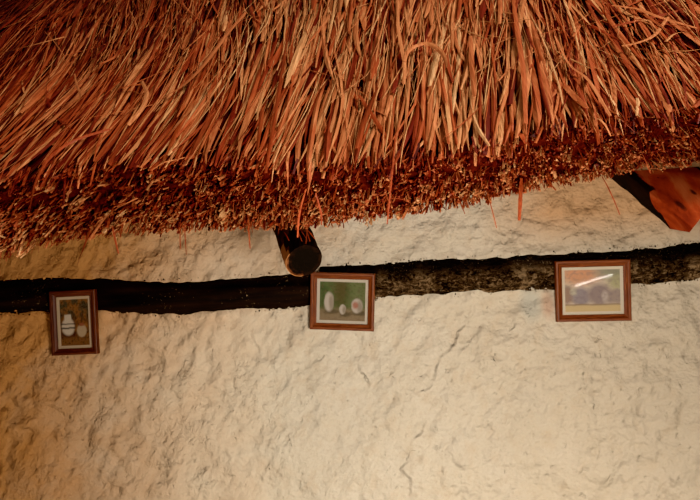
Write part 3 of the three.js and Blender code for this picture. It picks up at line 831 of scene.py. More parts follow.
def thatch_core(index):
    """The shaded body of one course, a little inside its straws."""
    share = SLOPE_LENGTH / COURSES
    low, high = index * share, (index + 1) * share
    inset = 0.018
    bm = bmesh.new()
    bmesh.ops.create_cube(bm, size=1)
    wide = [e for e in bm.edges if abs(e.verts[0].co.x - e.verts[1].co.x) > 0.5]
    bmesh.ops.subdivide_edges(bm, edges=wide, cuts=87, use_grid_fill=True)
    for v in bm.verts:
        x = v.co.x * 2 * (THATCH_HALF - inset)
        out = 0.016 if v.co.z < 0 else THATCH_THICK - 0.024
        up = high - (inset if index == COURSES - 1 else 0)
        if v.co.y < 0:
            up = low if index else float(cut_of_eave(x, out)) + 0.028
        wobble = 0.006 * noise.noise(Vector((9 * x, 7 * up, 5 * out)))
        v.co = Vector(roof_points(x, up, out + wobble))
    bmesh.ops.recalc_face_normals(bm, faces=bm.faces)
    name = "eave_thatch" if index == 0 else f"thatch_course_{index + 1}"
    add_shape(f"{name}_core", bm, CORE, (name,), smooth=False)


def thatch():
    for index in range(COURSES):
        thatch_core(index)
    whole = (-0.10, SLOPE_LENGTH - 0.05)
    at_eave = (-0.2, -0.1)  # below the cut of the eave, so all of these start at it
    # Painted shade: the bedded blades under the others get a dark tone, as the shade in the gaps between
    # them.
    blade_layer("bedded_blades", 3000, whole, (0.0095, 0.35), (0.5, 0.9), (-0.030, -0.014), (0.13, 0.09), 6)
    blade_layer("eave_tips", 900, at_eave, (0.0078, 0.50), (0.4, 0.9), (-0.014, 0.002), (0.50, 0.18), 9)
    blade_layer("long_blades", 3100, whole, (0.0088, 0.52), (0.55, 1.1), (-0.016, 0.004), (0.51, 0.20), 9,
                spread=0.045)
    blade_layer("fine_strands", 3300, whole, (0.0026, 0.40), (0.5, 1.1), (-0.008, 0.010), (0.66, 0.18), 5,
                spread=0.06, stray=0.05)
    loose_blades()
    butt_layer("eave_cut_ends", 21000)
    fringe_layer("eave_fringe", 900)
    under_layer("thatch_underside", 2400)
    end_layer("left_thatch_end", -1, 1000)
    end_layer("right_thatch_end", 1, 1000)
    top_layer("thatch_top_ends", 4200)


# Poles and logs
def curve_through(points, count):
    """Points of a smooth curve through the given ones, evenly by parameter."""
    points = np.array(points, float)
    spans = len(points) - 1
    padded = np.vstack([2 * points[0] - points[1], points, 2 * points[-1] - points[-2]])
    t = np.linspace(0, 1, count) * spans
    i = np.minimum(t.astype(int), spans - 1)
    f = (t - i)[:, None]
    a, b, c, d = padded[i], padded[i + 1], padded[i + 2], padded[i + 3]
    return 0.5 * (2 * b + (c - a) * f + (2 * a - 5 * b + 4 * c - d) * f**2 + (3 * b - a - 3 * c + d) * f**3)


def pole(line, up, section, sides, seed, rough=0.03, knobs=0.0, bark=None):
    """A closed round timber along a line. section gives its half width and half depth at an angle, and bark
    how much of its bark is left at a share of its length and an angle."""
    rings = len(line)
    bm = tube(sides, rings)
    caps = [f for f in bm.faces if abs(f.normal.z) > 0.9]
    for thickness in (0.22, 0.38):
        bmesh.ops.inset_region(bm, faces=caps, thickness=thickness, use_even_offset=True)
    left = bm.verts.layers.float.new("bark")
    tangent = np.gradient(line, axis=0)
    tangent /= np.linalg.norm(tangent, axis=1, keepdims=True)
    side = np.cross(tangent, np.array(up))
    side /= np.linalg.norm(side, axis=1, keepdims=True)
    lift = np.cross(side, tangent)
    for v in bm.verts:
        ring = min(max(round((v.co.z + 0.5) * (rings - 1)), 0), rings - 1)
        share = ring / (rings - 1)
        angle = math.atan2(v.co.y, v.co.x)
        radial = min(math.hypot(v.co.x, v.co.y), 1)
        half_width, half_depth = section(angle)
        place = Vector((9 * share * rings / 40 + seed, 1.3 * math.cos(angle), 1.3 * math.sin(angle)))
        swell = 1 + rough * noise.fractal(place * 1.7, 0.8, 2.1, 4)
        swell += knobs * max(noise.noise(place * 0.9) - 0.15, 0)
        beside = side[ring] * math.cos(angle) * half_width
        above = lift[ring] * math.sin(angle) * half_depth
        v[left] = bark(share, angle) if bark else 0.0
        v.co = Vector(line[ring] + (beside + above) * radial * swell)
    bmesh.ops.recalc_face_normals(bm, faces=bm.faces)
    return bm


def oval_section(half_width, half_depth):
    return lambda angle: (half_width, half_depth)


def bond_logs():
    left, right = WALL_LOW.x, WALL_HIGH.x
    outer_y, inner_y = WALL_LOW.y + BOND_INSIDE, WALL_HIGH.y - BOND_INSIDE
    left_line = [
        (left, 1.892), (-1.5, 1.888), (-0.8, 1.901), (-0.45, 1.889), (-0.22, 1.867), (0, 1.870),
        (BOND_JOINT - 0.002, 1.875),
    ]
    right_line = [
        (BOND_JOINT + 0.002, 1.889), (0.76, 1.891), (1.16, 1.892), (1.35, 1.901), (1.7, 1.908),
        (right, 1.902),
    ]
    inner_line = [(left, 1.886), (-1.1, 1.895), (0, 1.883), (1.0, 1.890), (right, 1.896)]
    logs = [
        ("left_bond_log", left_line, outer_y, TARRED, "tarred_log", 0.03, 0.10, 3.1),
        ("right_bond_log", right_line, outer_y, BARKED, "barked_log", 0.07, 0.16, 7.7),
        ("inner_bond_log", inner_line, inner_y, TARRED, "tarred_log", 0.03, 0.10, 11.3),
    ]
    section = oval_section(BOND_RADIUS, BOND_RADIUS)
    for name, points, y, material, slot, rough, knobs, seed in logs:
        length = points[-1][0] - points[0][0]
        line = curve_through([(x, y, z) for x, z in points], int(length / 0.022))
        log = pole(line, (0, 0, 1), section, 36, seed, rough, knobs)
        add_shape(f"{name}_skin", log, material, (name,))


def wall_plates():
    section = oval_section(PLATE_RADIUS, PLATE_RADIUS)
    for name in ("outer_wall_plate", "inner_wall_plate"):
        low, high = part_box(name)
        y, z = (low.y + high.y) / 2, (low.z + high.z) / 2
        line = curve_through([(low.x, y, z), (0, y, z), (high.x, y, z)], 60)
        plate = pole(line, (0, 0, 1), section, 26, y * 9, 0.02)
        add_shape(f"{name}_skin", plate, PLATE, (name,))


def batten_place(index):
    """How far up the slope a batten lies."""
    first, last = 0.23, RAFTER_TOP - 0.07
    return first + (last - first) * index / (BATTENS - 1)


def battens():
    section = oval_section(BATTEN_RADIUS - 0.0002, BATTEN_RADIUS - 0.0002)
    for index in range(BATTENS):
        name = f"batten_{index + 1}"
        low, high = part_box(name)
        up = batten_place(index)
        bow = 0.007 * math.sin(2.3 * index + 0.7)
        ends = [low.x, low.x + 0.3 * (high.x - low.x), low.x + 0.675 * (high.x - low.x), high.x]
        places = [roof_points(x, up + (bow if i % 2 else -bow), -BATTEN_RADIUS) for i, x in enumerate(ends)]
        batten = pole(curve_through(places, 64), OUT_OF_ROOF, section, 12, 20 + index, 0.05, 0.15)
        add_shape(f"{name}_skin", batten, BATTEN, (name,))


# Shift, width and depth of each rafter's pole, and its tail's cuts: a place up the slope on the middle of the
# upper face, an angle off square in the plane of the roof, and one by which the cut leans back underneath
RAFTERS = [
    (-0.010, 0.092, 0.090, [(-0.055, 4, 0)]),
    (-0.020, 0.098, 0.092, [(-0.030, -5, 0)]),
    (0.048, 0.087, 0.084, [(-0.028, 6, 0)]),
    (0.083, 0.170, 0.190, [(0.040, 35, 20), (-0.112, -41, 57)]),
    (-0.030, 0.096, 0.090, [(-0.060, 6, 0)]),
]
HEWN_RAFTER = 3  # the lower half of its pole, with a flat upper face
HEWN_RISE = 0.003  # how far that face stands over the pole's middle line
SHAVED_FROM = -0.03  # up the slope, where the bare strip along its tail is widest
SHAVED_LENGTH = 0.145
RAFTER_FACE = 0.004 - 2 * BATTEN_RADIUS  # the upper side of the rafters, out of the thatch's underside


def rafter_x(index, up):
    at_plate = (index - (len(RAFTERS) - 1) / 2) * RAFTER_SPACING + RAFTERS[index][0]
    return at_plate - (up - PLATE_PLACE) * math.tan(RAFTER_SKEW)


def hewn_section(half_width, half_depth):
    return lambda angle: (half_width, half_depth if math.sin(angle) < 0 else HEWN_RISE)


def hewn_bark(share, angle):
    """Bark on the round underside, and for a little way in over the edges of the hewn face."""
    if math.sin(angle) < 0:
        return 1.0
    inward = 0.42 if math.cos(angle) < 0 else 0.15
    return 1.1 * (1 - min((1 - abs(math.cos(angle))) / inward, 1))


def round_bark(share, angle):
    """Most of the bark is left at the tail, except for a bare strip below on the left, which is painted
    bright as a highlight on the lit side of the tail.
    """
    bare = 128 + 700 * max(share - 0.03, 0) < math.degrees(angle) % 360 < 260
    if share < 0.06:
        return -0.4 if bare else 1.2
    return 0.3 if math.cos(angle) < -0.2 else 0.55


def cut_plane(index, up, angle, under):
    """The direction of a rafter's kept side from a cut at its tail, and a point on the cut."""
    flat, tilt = RAFTER_SKEW + math.radians(angle), math.radians(under)
    kept = Vector((-math.sin(flat) * math.cos(tilt), 0, 0))
    kept += UP_SLOPE * math.cos(flat) * math.cos(tilt) + OUT_OF_ROOF * math.sin(tilt)
    return kept, Vector(roof_points(rafter_x(index, up), up, RAFTER_FACE))


def saw(bm, index, up, angle, under):
    """Cuts off a rafter's tail and closes it with a flat sawn end, red on the hewn rafter and else black."""
    kept, foot = cut_plane(index, up, angle, under)
    everything = bm.verts[:] + bm.edges[:] + bm.faces[:]
    bmesh.ops.bisect_plane(bm, geom=everything, plane_co=foot, plane_no=kept, clear_inner=True)
    rim = [e for e in bm.edges if e.is_boundary]
    for edge in rim:
        edge.smooth = False
    caps = bmesh.ops.edgeloop_fill(bm, edges=rim)["faces"]
    hewn = index == HEWN_RAFTER
    bmesh.ops.inset_individual(bm, faces=caps, thickness=0.003 if hewn else 0.016, use_even_offset=True)
    left = bm.verts.layers.float["bark"]
    for v in {v for cap in caps for v in cap.verts}:
        v[left] = -0.5 if hewn else 1.6


def shave(bm, index, half_width, half_depth):
    """Takes the bark off the side of a hewn tail, more of it the nearer to the tip."""
    left = bm.verts.layers.float["bark"]
    for v in bm.verts:
        place = v.co - EAVE_ORIGIN
        here = place.dot(UP_SLOPE)
        under = (RAFTER_FACE - place.dot(OUT_OF_ROOF)) / half_depth
        beside = (rafter_x(index, here) - v.co.x) / half_width
        strip = math.radians(72) * (1 - (here - SHAVED_FROM) / SHAVED_LENGTH)
        if beside > 0 and math.atan2(under, beside) < strip:
            v[left] = min(v[left], -0.5)


def rafters():
    for index, (_, width, depth, cuts) in enumerate(RAFTERS):
        hewn = index == HEWN_RAFTER
        middle = RAFTER_FACE - (HEWN_RISE if hewn else depth / 2)
        bow = 0.009 * math.cos(1.7 * index)
        ups = [min(c[0] for c in cuts) - 0.05, 0.35, PLATE_PLACE, 1.35, RAFTER_TOP]
        bows = [0, bow, 0, bow, 0]
        places = [roof_points(rafter_x(index, up) + off, up, middle) for up, off in zip(ups, bows)]
        section = (hewn_section if hewn else oval_section)(width / 2, depth / 2)
        bark = hewn_bark if hewn else round_bark
        bm = pole(curve_through(places, 110), OUT_OF_ROOF, section, 32, 31.0 + 5 * index, 0.05, 0.10, bark)
        if hewn:
            for v in bm.verts:
                if (v.co - EAVE_ORIGIN).dot(OUT_OF_ROOF) > RAFTER_FACE - 0.006:
                    v.co += OUT_OF_ROOF * 0.004 * noise.noise(v.co * 16)
        for cut in cuts:
            saw(bm, index, *cut)
        if hewn:
            shave(bm, index, width / 2, depth / 2)
        bmesh.ops.recalc_face_normals(bm, faces=bm.faces)
        material, slot = (HEWN, "hewn_rafter") if hewn else (POLE, "rafter_pole")
        add_shape(f"rafter_{index + 1}_skin", bm, material, (f"rafter_{index + 1}",))


OVER_WALL = (0.69, 1.42)  # up the slope, where the wall's head leaves no room for rope
ROPE_SIDES = 5
ROPE_RADIUS = 0.0032
ROPE_SLANTS = [0.055 * (0.5 + 0.42 * turn) for turn in (-1, 0, 1)]  # how far each turn runs up the slope


def rope_turn(index, up, slant, middle, half_width, half_height):
    """A closed turn of rope around a rafter and the batten that crosses it."""
    bm = tube(18, ROPE_SIDES, cap_ends=False)
    bmesh.ops.bridge_loops(bm, edges=[e for e in bm.edges if e.is_boundary])
    for v in bm.verts:
        about = math.atan2(v.co.y, v.co.x)
        strand = 2 * math.pi * round((v.co.z + 0.5) * (ROPE_SIDES - 1)) / ROPE_SIDES
        square = (abs(math.cos(about)) ** 3 + abs(math.sin(about)) ** 3) ** (-1 / 3)
        reach = half_width + ROPE_RADIUS * math.cos(strand)
        height = half_height + ROPE_RADIUS * math.cos(strand)
        x = rafter_x(index, up) + reach * square * math.cos(about)
        along = up + slant * math.cos(about) + ROPE_RADIUS * math.sin(strand)
        v.co = Vector(roof_points(x, along, middle + height * square * math.sin(about)))
    return mesh_from("turn", bm)


def lashings():
    """Turns of grass rope that bind battens to rafters. The lowest batten isn't tied to the hewn rafter."""
    for batten in range(BATTENS):
        up = batten_place(batten)
        if OVER_WALL[0] < up < OVER_WALL[1]:
            continue
        bm = bmesh.new()
        for index, (_, width, depth, _) in enumerate(RAFTERS):
            if batten == 0 and index == HEWN_RAFTER:
                continue
            deep = depth / 2 if index == HEWN_RAFTER else depth
            middle = RAFTER_FACE + 0.02 - deep / 2
            for slant in ROPE_SLANTS:
                turn = rope_turn(index, up, slant, middle, width / 2 + 0.004, deep / 2 + 0.022)
                bm.from_mesh(turn)
                bpy.data.meshes.remove(turn)
        bmesh.ops.recalc_face_normals(bm, faces=bm.faces)
        add_shape(f"batten_{batten + 1}_lashings", bm, ROPE)


# The limewashed wall, as a core with a lumpy coat on each face
ROUNDING = 0.05
FINE_LOW = (-0.92, 1.2)  # along the wall and up, the part of the outer coat with the finest relief
FINE_HIGH = (1.44, 2.12)
FINE_STEP = 0.009
COARSE_STEP = 0.034  # of the other coats
END_SET_BACK = 0.008  # of the coats at the wall's two cut ends


def heap(x, y, z):
    """How far the hand-laid coat stands out of the plane of the wall."""
    broad = noise.noise(Vector((1.1 * x, 1.1 * y + 3, 1.1 * z)))
    patch = noise.fractal(Vector((4.2 * x, 4.2 * y, 3.4 * z)), 0.9, 2.1, 3)
    lump = noise.noise(Vector((17 * x - 5 * z, 17 * y, 13 * z + 6 * x)))
    dab = noise.noise(Vector((33 * x, 33 * y + 7, 27 * z)))
    return 0.007 * broad + 0.005 * patch + 0.0035 * lump + 0.0014 * dab


# Cracks and short dents in the outer coat, as places along the wall and heights
CRACKS = [
    [
        (0.68, 1.83), (0.67, 1.78), (0.63, 1.73), (0.62, 1.69), (0.57, 1.66), (0.555, 1.60), (0.53, 1.57),
        (0.495, 1.56),
    ],
    [(0.52, 1.49), (0.51, 1.45), (0.48, 1.425), (0.455, 1.40)],
    [(0.475, 1.38), (0.445, 1.35), (0.47, 1.325), (0.463, 1.27)],
    [(0.325, 1.66), (0.355, 1.61), (0.37, 1.585)],
    [(0.865, 1.735), (0.895, 1.695)],
    [(0.98, 1.60), (0.972, 1.57)],
    [(1.185, 1.65), (1.21, 1.67)],
    [(0.745, 1.48), (0.74, 1.46)],
    [(0.675, 1.33), (0.682, 1.315)],
    [(0.99, 1.385), (0.977, 1.335)],
    [(0.563, 1.36), (0.564, 1.335)],
    [(0.015, 1.76), (0.05, 1.695)],
    [(0.17, 1.843), (0.235, 1.822)],
]


def crack_lines(x, z):
    """How far places on the outer face lie left or right of the nearest crack, and how open it is there."""
    best = np.full(x.shape, 1.0)
    signed = np.full(x.shape, 1.0)
    share = np.zeros(x.shape)
    wander = 0.003 * np.sin(70 * z + 3 * x) + 0.0015 * np.sin(190 * z)
    for points in CRACKS:
        for i, ((x0, z0), (x1, z1)) in enumerate(zip(points, points[1:])):
            dx, dz = x1 - x0, z1 - z0
            inside = np.clip(((x - x0) * dx + (z - z0) * dz) / (dx * dx + dz * dz), 0, 1)
            off_x, off_z = x + wander - x0 - inside * dx, z - z0 - inside * dz
            away = np.hypot(off_x, off_z)
            along = (i + inside) / (len(points) - 1)
            open_here = np.clip(6 * along, 0, 1) * np.clip(6 * (1 - along), 0, 1)
            open_here = open_here * np.clip(2 - away / 0.012, 0, 1)
            nearer = away < best
            best = np.where(nearer, away, best)
            signed = np.where(nearer, np.where(off_x * dz > off_z * dx, -away, away), signed)
            share = np.where(nearer, open_here, share)
    return signed, share


def paint_cracks(mesh, cracked=False):
    points = np.array([v.co for v in mesh.vertices])
    signed, share = crack_lines(points[:, 0], points[:, 2])
    paint(mesh, "crack", signed)
    paint(mesh, "crack_fade", share * cracked)


def wall_coat(name, origin, across, upward, normal, sizes, steps, relief, replaces=()):
    """A closed slab with one worked face, as relief(point, normal) moves it. steps are shares of sizes."""
    depth = 0.12
    bm = bmesh.new()
    bmesh.ops.create_grid(bm, x_segments=len(steps[0]) - 1, y_segments=len(steps[1]) - 1, size=0.5)
    for v in bm.verts:
        i = round((v.co.x + 0.5) * (len(steps[0]) - 1))
        j = round((v.co.y + 0.5) * (len(steps[1]) - 1))
        v.co = origin + across * (steps[0][i] * sizes[0]) + upward * (steps[1][j] * sizes[1])
    rim = [e for e in bm.edges if e.is_boundary]
    for v in bm.verts:
        v.co = relief(v.co.copy(), normal)
    behind = bmesh.ops.extrude_edge_only(bm, edges=rim)["geom"]
    centre = origin + across * sizes[0] / 2 + upward * sizes[1] / 2
    for v in [g for g in behind if isinstance(g, bmesh.types.BMVert)]:
        v.co = centre + (v.co - centre) * 0.97 - normal * depth
    loop = [g for g in behind if isinstance(g, bmesh.types.BMEdge) and g.is_boundary]
    bmesh.ops.edgeloop_fill(bm, edges=loop)
    bmesh.ops.recalc_face_normals(bm, faces=bm.faces)
    mesh = mesh_from(name, bm)
    paint_cracks(mesh, normal.y < -0.9)
    add_piece(name, mesh, PLASTER, replaces)


def steps_with(fine_low, fine_high, fine, coarse, length):
    """Shares from 0 to 1, close together between two places and wider apart outside them."""
    places = [0.0]
    while places[-1] < length - 1e-6:
        here = places[-1]
        places.append(min(here + (fine if fine_low <= here < fine_high else coarse), length))
    if places[-1] - places[-2] < 0.3 * fine:
        places.pop(-2)
    return [p / length for p in places]


def even_steps(length):
    """Shares from 0 to 1 in even steps, the last of them a little longer."""
    count = math.ceil(length / COARSE_STEP) - 1
    return [i * COARSE_STEP / length for i in range(count)] + [1.0]


def head_height(y):
    """Height of the wall's sloping head over a place across the wall."""
    return EAVE_ORIGIN.z + (y - EAVE_ORIGIN.y) * math.tan(PITCH) - HEAD_DEPTH / math.cos(PITCH)


# Outward normals of the wall's upright and sloping faces, and a point on each
WALL_PLANES = [
    (Vector((0, -1, 0)), WALL_LOW),
    (Vector((0, 1, 0)), WALL_HIGH),
    (Vector((-1, 0, 0)), WALL_LOW),
    (Vector((1, 0, 0)), WALL_HIGH),
    (OUT_OF_ROOF, Vector((0, WALL_LOW.y, head_height(WALL_LOW.y)))),
]


def worked(point, normal, extra=None):
    """A point of the wall's face, rounded off at the edges and moved out by the coat's lumps."""
    blend = Vector(normal)
    moved = Vector(point)
    edge = 0.0
    for other, on in WALL_PLANES:
        if other.dot(normal) > 0.999:
            continue
        inside = (on - point).dot(other)
        if inside < ROUNDING:
            share = (1 - max(inside, 0) / ROUNDING) ** 2
            blend += other * share
            moved -= 0.22 * ROUNDING * share * (normal + other)
            edge = max(edge, share)
    blend.normalize()
    amount = heap(*point)
    if extra:
        amount += extra(point) * (1 - edge)
    if point.z < 0.03:
        blend.z = 0
        amount *= 0.5
    return moved + blend * amount


# Middle line of the two outer logs, as places along the wall and heights
OUTER_LOG_LINE = [
    (-2.05, 1.892), (-1.5, 1.888), (-0.8, 1.901), (-0.45, 1.889), (-0.22, 1.867), (0.0, 1.870), (0.23, 1.875),
    (0.26, 1.889), (0.76, 1.891), (1.16, 1.892), (1.35, 1.901), (1.7, 1.908), (2.05, 1.902),
]
INNER_LOG_HEIGHT = 1.889
LIP_OFF = 0.052  # how far from a log's middle line its lip of plaster is highest


def outer_extra(point):
    """The ragged lip of plaster along the outer logs, steeper on the logs' side."""
    x, z = point.x, point.z
    line = np.interp(x, *zip(*OUTER_LOG_LINE))
    away = abs(z - line) - LIP_OFF
    lip = math.exp(-((away / 0.016) ** 2)) if away > 0 else math.exp(-((away / 0.010) ** 2))
    ragged = 0.5 + 0.9 * noise.noise(Vector((24 * x, 5, 24 * z)))
    ragged += 0.5 * noise.noise(Vector((60 * x, 9, 60 * z)))
    return 0.007 * lip * ragged


def inner_extra(point):
    """A softer lip along the inner log."""
    away = abs(point.z - INNER_LOG_HEIGHT) - LIP_OFF
    lip = math.exp(-((away / 0.025) ** 2))
    return 0.006 * lip * (0.5 + noise.noise(Vector((18 * point.x, 2, 18 * point.z))))


def end_relief(point, normal):
    """The worked face of one of the wall's ends, whose upper edge follows the sloping head."""
    share = point.z / head_height(WALL_HIGH.y)
    under_head = Vector((point.x, point.y, share * head_height(point.y)))
    return worked(under_head, normal, lambda place: -END_SET_BACK)


def masonry_wall():
    long, thick = WALL_HIGH.x - WALL_LOW.x, WALL_HIGH.y - WALL_LOW.y
    low_head, high_head = head_height(WALL_LOW.y), head_height(WALL_HIGH.y)
    slope = thick / math.cos(PITCH)
    x_axis, y_axis, z_axis = Vector((1, 0, 0)), Vector((0, 1, 0)), Vector((0, 0, 1))
    fine_x = steps_with(FINE_LOW[0] - WALL_LOW.x, FINE_HIGH[0] - WALL_LOW.x, FINE_STEP, 0.03, long)
    fine_z = steps_with(FINE_LOW[1], FINE_HIGH[1], FINE_STEP, 0.035, low_head)
    coarse_x, coarse_y, coarse_z = even_steps(long), even_steps(thick), even_steps(high_head)

    foot = Vector((WALL_LOW.x, WALL_LOW.y, 0))
    wall_coat("outer_wall_coat", foot, x_axis, z_axis, -y_axis, (long, low_head), (fine_x, fine_z),
              partial(worked, extra=outer_extra), ("masonry_wall",))
    foot = Vector((WALL_LOW.x, WALL_HIGH.y, 0))
    wall_coat("inner_wall_coat", foot, x_axis, z_axis, y_axis, (long, high_head), (coarse_x, coarse_z),
              partial(worked, extra=inner_extra))
    for name, x, normal in (("left", WALL_LOW.x, -x_axis), ("right", WALL_HIGH.x, x_axis)):
        foot = Vector((x, WALL_LOW.y, 0))
        wall_coat(f"{name}_end_coat", foot, y_axis, z_axis, normal, (thick, high_head), (coarse_y, coarse_z),
                  end_relief)
    foot = Vector((WALL_LOW.x, WALL_LOW.y, low_head))
    wall_coat("wall_head_coat", foot, x_axis, UP_SLOPE, OUT_OF_ROOF, (long, slope),
              (coarse_x, even_steps(slope)), worked)

    left, right = WALL_LOW.x + 0.02, WALL_HIGH.x - 0.02
    lip_crumbs("plaster_crumbs", PLASTER, left, right, 900, 0.0530, 0.0036)
    lip_crumbs("left_log_crumbs", TARRED, left, BOND_JOINT, 420, 0.0550, 0.0019)
    lip_crumbs("right_log_crumbs", BARKED, BOND_JOINT, right, 420, 0.0550, 0.0019)
    wall_core()


def lip_crumbs(name, material, low, high, count, off, coarse):
    """Crumbs of plaster or bark in the corners between the wall and an outer log."""
    bm = bmesh.new()
    bmesh.ops.create_icosphere(bm, subdivisions=1, radius=1)
    shape = np.array([v.co for v in bm.verts])
    faces = np.array([[v.index for v in f.verts] for f in bm.faces])
    bm.free()
    x = rng.uniform(low, high, count)
    above = np.where(rng.random(count) < 0.5, 1, -1)
    height = np.interp(x, *zip(*OUTER_LOG_LINE)) + above * (off + rng.normal(0, 0.0025, count))
    centre = np.stack([x, WALL_LOW.y - 0.003 + rng.normal(0, 0.0025, count), height], 1)
    size = rng.gamma(3.0, coarse / 3, count).clip(0.001, 1.6 * coarse)[:, None]
    size = size * rng.uniform(0.5, 1.3, (count, 3))
    dented = shape[None] * rng.uniform(0.6, 1.15, (count, len(shape), 1))
    mesh = many_copies(name, centre[:, None] + dented * size[:, None], faces)
    paint_cracks(mesh)
    add_piece(name, mesh, material, smooth=False)


def wall_core():
    """The rubble inside, which closes the foot of the wall."""
    inset = 0.045
    bm = bmesh.new()
    bmesh.ops.create_cube(bm, size=1)
    for v in bm.verts:
        y = (WALL_LOW.y + inset) if v.co.y < 0 else (WALL_HIGH.y - inset)
        x = (WALL_LOW.x + inset) if v.co.x < 0 else (WALL_HIGH.x - inset)
        z = 0.0005 if v.co.z < 0 else head_height(y) - 1.5 * inset
        v.co = Vector((x, y, z))
    bmesh.ops.bevel(bm, geom=bm.edges, offset=0.01, segments=2, profile=0.5, affect="EDGES", material=-1)
    bmesh.ops.recalc_face_normals(bm, faces=bm.faces)
    mesh = mesh_from("wall_rubble_core", bm)
    paint_cracks(mesh)
    add_piece("wall_rubble_core", mesh, PLASTER, smooth=False)


# Pictures
def picture_axes(name):
    """A picture's middle, and the directions of its width, its height and its face, from its glass."""
    points = np.array([v.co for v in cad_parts[f"{name}_picture_glass"].data.vertices])
    points = np.unique(points.round(6), axis=0)
    centre = points.mean(0)
    _, _, axes = np.linalg.svd(points - centre)
    width = max(axes, key=lambda a: abs(a[0]))
    width = Vector(width * np.sign(width[0]))
    height = Vector(max(axes, key=lambda a: abs(a[2])))
    height *= math.copysign(1, height.z)
    out = width.cross(height).normalized()
    return Vector(centre), width, height, out


def node_extents(node, centre, *axes):
    """How far a node reaches from a place each way along some directions."""
    points = [v.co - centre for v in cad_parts[node].data.vertices]
    return [(min(p.dot(a) for p in points), max(p.dot(a) for p in points)) for a in axes]


# Places on the moulding's section: in from the frame's edge, and out from its back
MOULDING_PROFILE = [
    (0.0, 0.0), (0.0, 0.0145), (0.0008, 0.0165), (0.0025, 0.0178), (0.0065, 0.0180), (0.0085, 0.0172),
    (0.0095, 0.0155), (0.0105, 0.0138), (0.0150, 0.0112), (0.0168, 0.0104), (0.0178, 0.0113),
    (0.0187, 0.0110), (0.0190, 0.0102), (0.0190, 0.0092), (0.0135, 0.0092), (0.0135, 0.0),
]


def moulding(name):
    """A picture's mitred frame, with its grain along each side."""
    node = f"{name}_picture_frame"
    centre, width, height, out = picture_axes(name)
    (x0, x1), (y0, y1), (z0, _) = node_extents(node, centre, width, height, out)
    corners = [(x0, y0, 1, 1), (x1, y0, -1, 1), (x1, y1, -1, -1), (x0, y1, 1, -1)]

    def place(corner, d, h):
        """Where a point of the profile lies, d in from the frame's edge and h out from its back."""
        x, y, sx, sy = corner
        return centre + width * (x + sx * d) + height * (y + sy * d) + out * (z0 + h)

    def misfit(v, profile_point):
        return min((v.co - place(corner, *profile_point)).length for corner in corners)

    bm = bmesh.new()
    grain = bm.loops.layers.uv.new("grain")
    verts = [bm.verts.new(place(corners[0], d, h)) for d, h in MOULDING_PROFILE]
    loop = [bm.edges.new((a, b)) for a, b in zip(verts, verts[1:] + verts[:1])]
    for corner in corners[1:] + corners[:1]:
        made = bmesh.ops.extrude_edge_only(bm, edges=loop)["geom"]
        for v in [g for g in made if isinstance(g, bmesh.types.BMVert)]:
            v.co = place(corner, *min(MOULDING_PROFILE, key=lambda p: misfit(v, p)))
        loop = [g for g in made if isinstance(g, bmesh.types.BMEdge) and len(g.link_faces) == 1]
    bmesh.ops.remove_doubles(bm, verts=bm.verts, dist=1e-5)
    bmesh.ops.recalc_face_normals(bm, faces=bm.faces)
    for face in bm.faces:
        middle = face.calc_center_median() - centre
        a, b = middle.dot(width), middle.dot(height)
        upright = min(abs(a - x0), abs(a - x1)) < min(abs(b - y0), abs(b - y1))
        for corner_loop in face.loops:
            p = corner_loop.vert.co - centre
            along, off = (p.dot(height), p.dot(width)) if upright else (p.dot(width), p.dot(height))
            corner_loop[grain].uv = (along + (0.5 if a + b > 0 else 0), off + 0.3 * p.dot(out))
    add_shape(f"{name}_picture_moulding", bm, MOULDING, (node,), smooth=False)


class Painter:
    """Soft shapes on a print, in shares of its width and height."""

    def __init__(self, nodes):
        self.n = nodes
        uv = nodes.put("UVMap", {"uv_map": "face"}).outputs["UV"]
        wander = nodes.put("TexNoise", Scale=9.0, Detail=4.0, Vector=uv).outputs["Color"]
        small = nodes.put("VectorMath", {"operation": "SCALE"}, Vector=wander, Scale=0.03).outputs[0]
        moved = nodes.put("VectorMath", {"operation": "ADD"}).outputs[0]
        nodes.feed(moved.node.inputs[0], uv)
        nodes.feed(moved.node.inputs[1], small)
        self.plain = nodes.put("SeparateXYZ", Vector=uv).outputs
        self.u, self.v, _ = nodes.put("SeparateXYZ", Vector=moved).outputs
        self.uv = uv
        self.colour = None

    def fill(self, colour):
        rgb = self.n.put("RGB")
        rgb.outputs[0].default_value = (*colour, 1)
        self.colour = rgb.outputs[0]

    def cover(self, mask, colour, strength=1.0):
        share = self.n.times(mask, strength)
        self.colour = self.n.mix(share, self.colour, colour)

    def oval(self, middle_u, middle_v, half_u, half_v, soft=0.15):
        n = self.n
        a = n.math("DIVIDE", n.less(self.u, middle_u), half_u)
        b = n.math("DIVIDE", n.less(self.v, middle_v), half_v)
        return n.span(n.hypot(a, b), 1 - soft, 1 + soft, 1, 0)

    def block(self, u0, u1, v0, v1, soft=0.012):
        n = self.n
        sides = [(self.u, u0, 1), (self.u, u1, -1), (self.v, v0, 1), (self.v, v1, -1)]
        return n.times(*[n.span(value, edge - soft * way, edge + soft * way) for value, edge, way in sides])

    def speckle(self, scale, low, high):
        value = self.n.put("TexNoise", Scale=scale, Detail=3.0, Vector=self.uv).outputs["Fac"]
        return self.n.span(value, low, high)

    def border(self, share_u, share_v, colour):
        n = self.n
        steps = []
        for value, share in ((self.plain[0], share_u), (self.plain[1], share_v)):
            near = n.math("MINIMUM", value, n.less(1.0, value))
            steps.append(n.span(near, share - 0.004, share + 0.004))
        self.colour = n.mix(n.times(*steps), colour, self.colour)


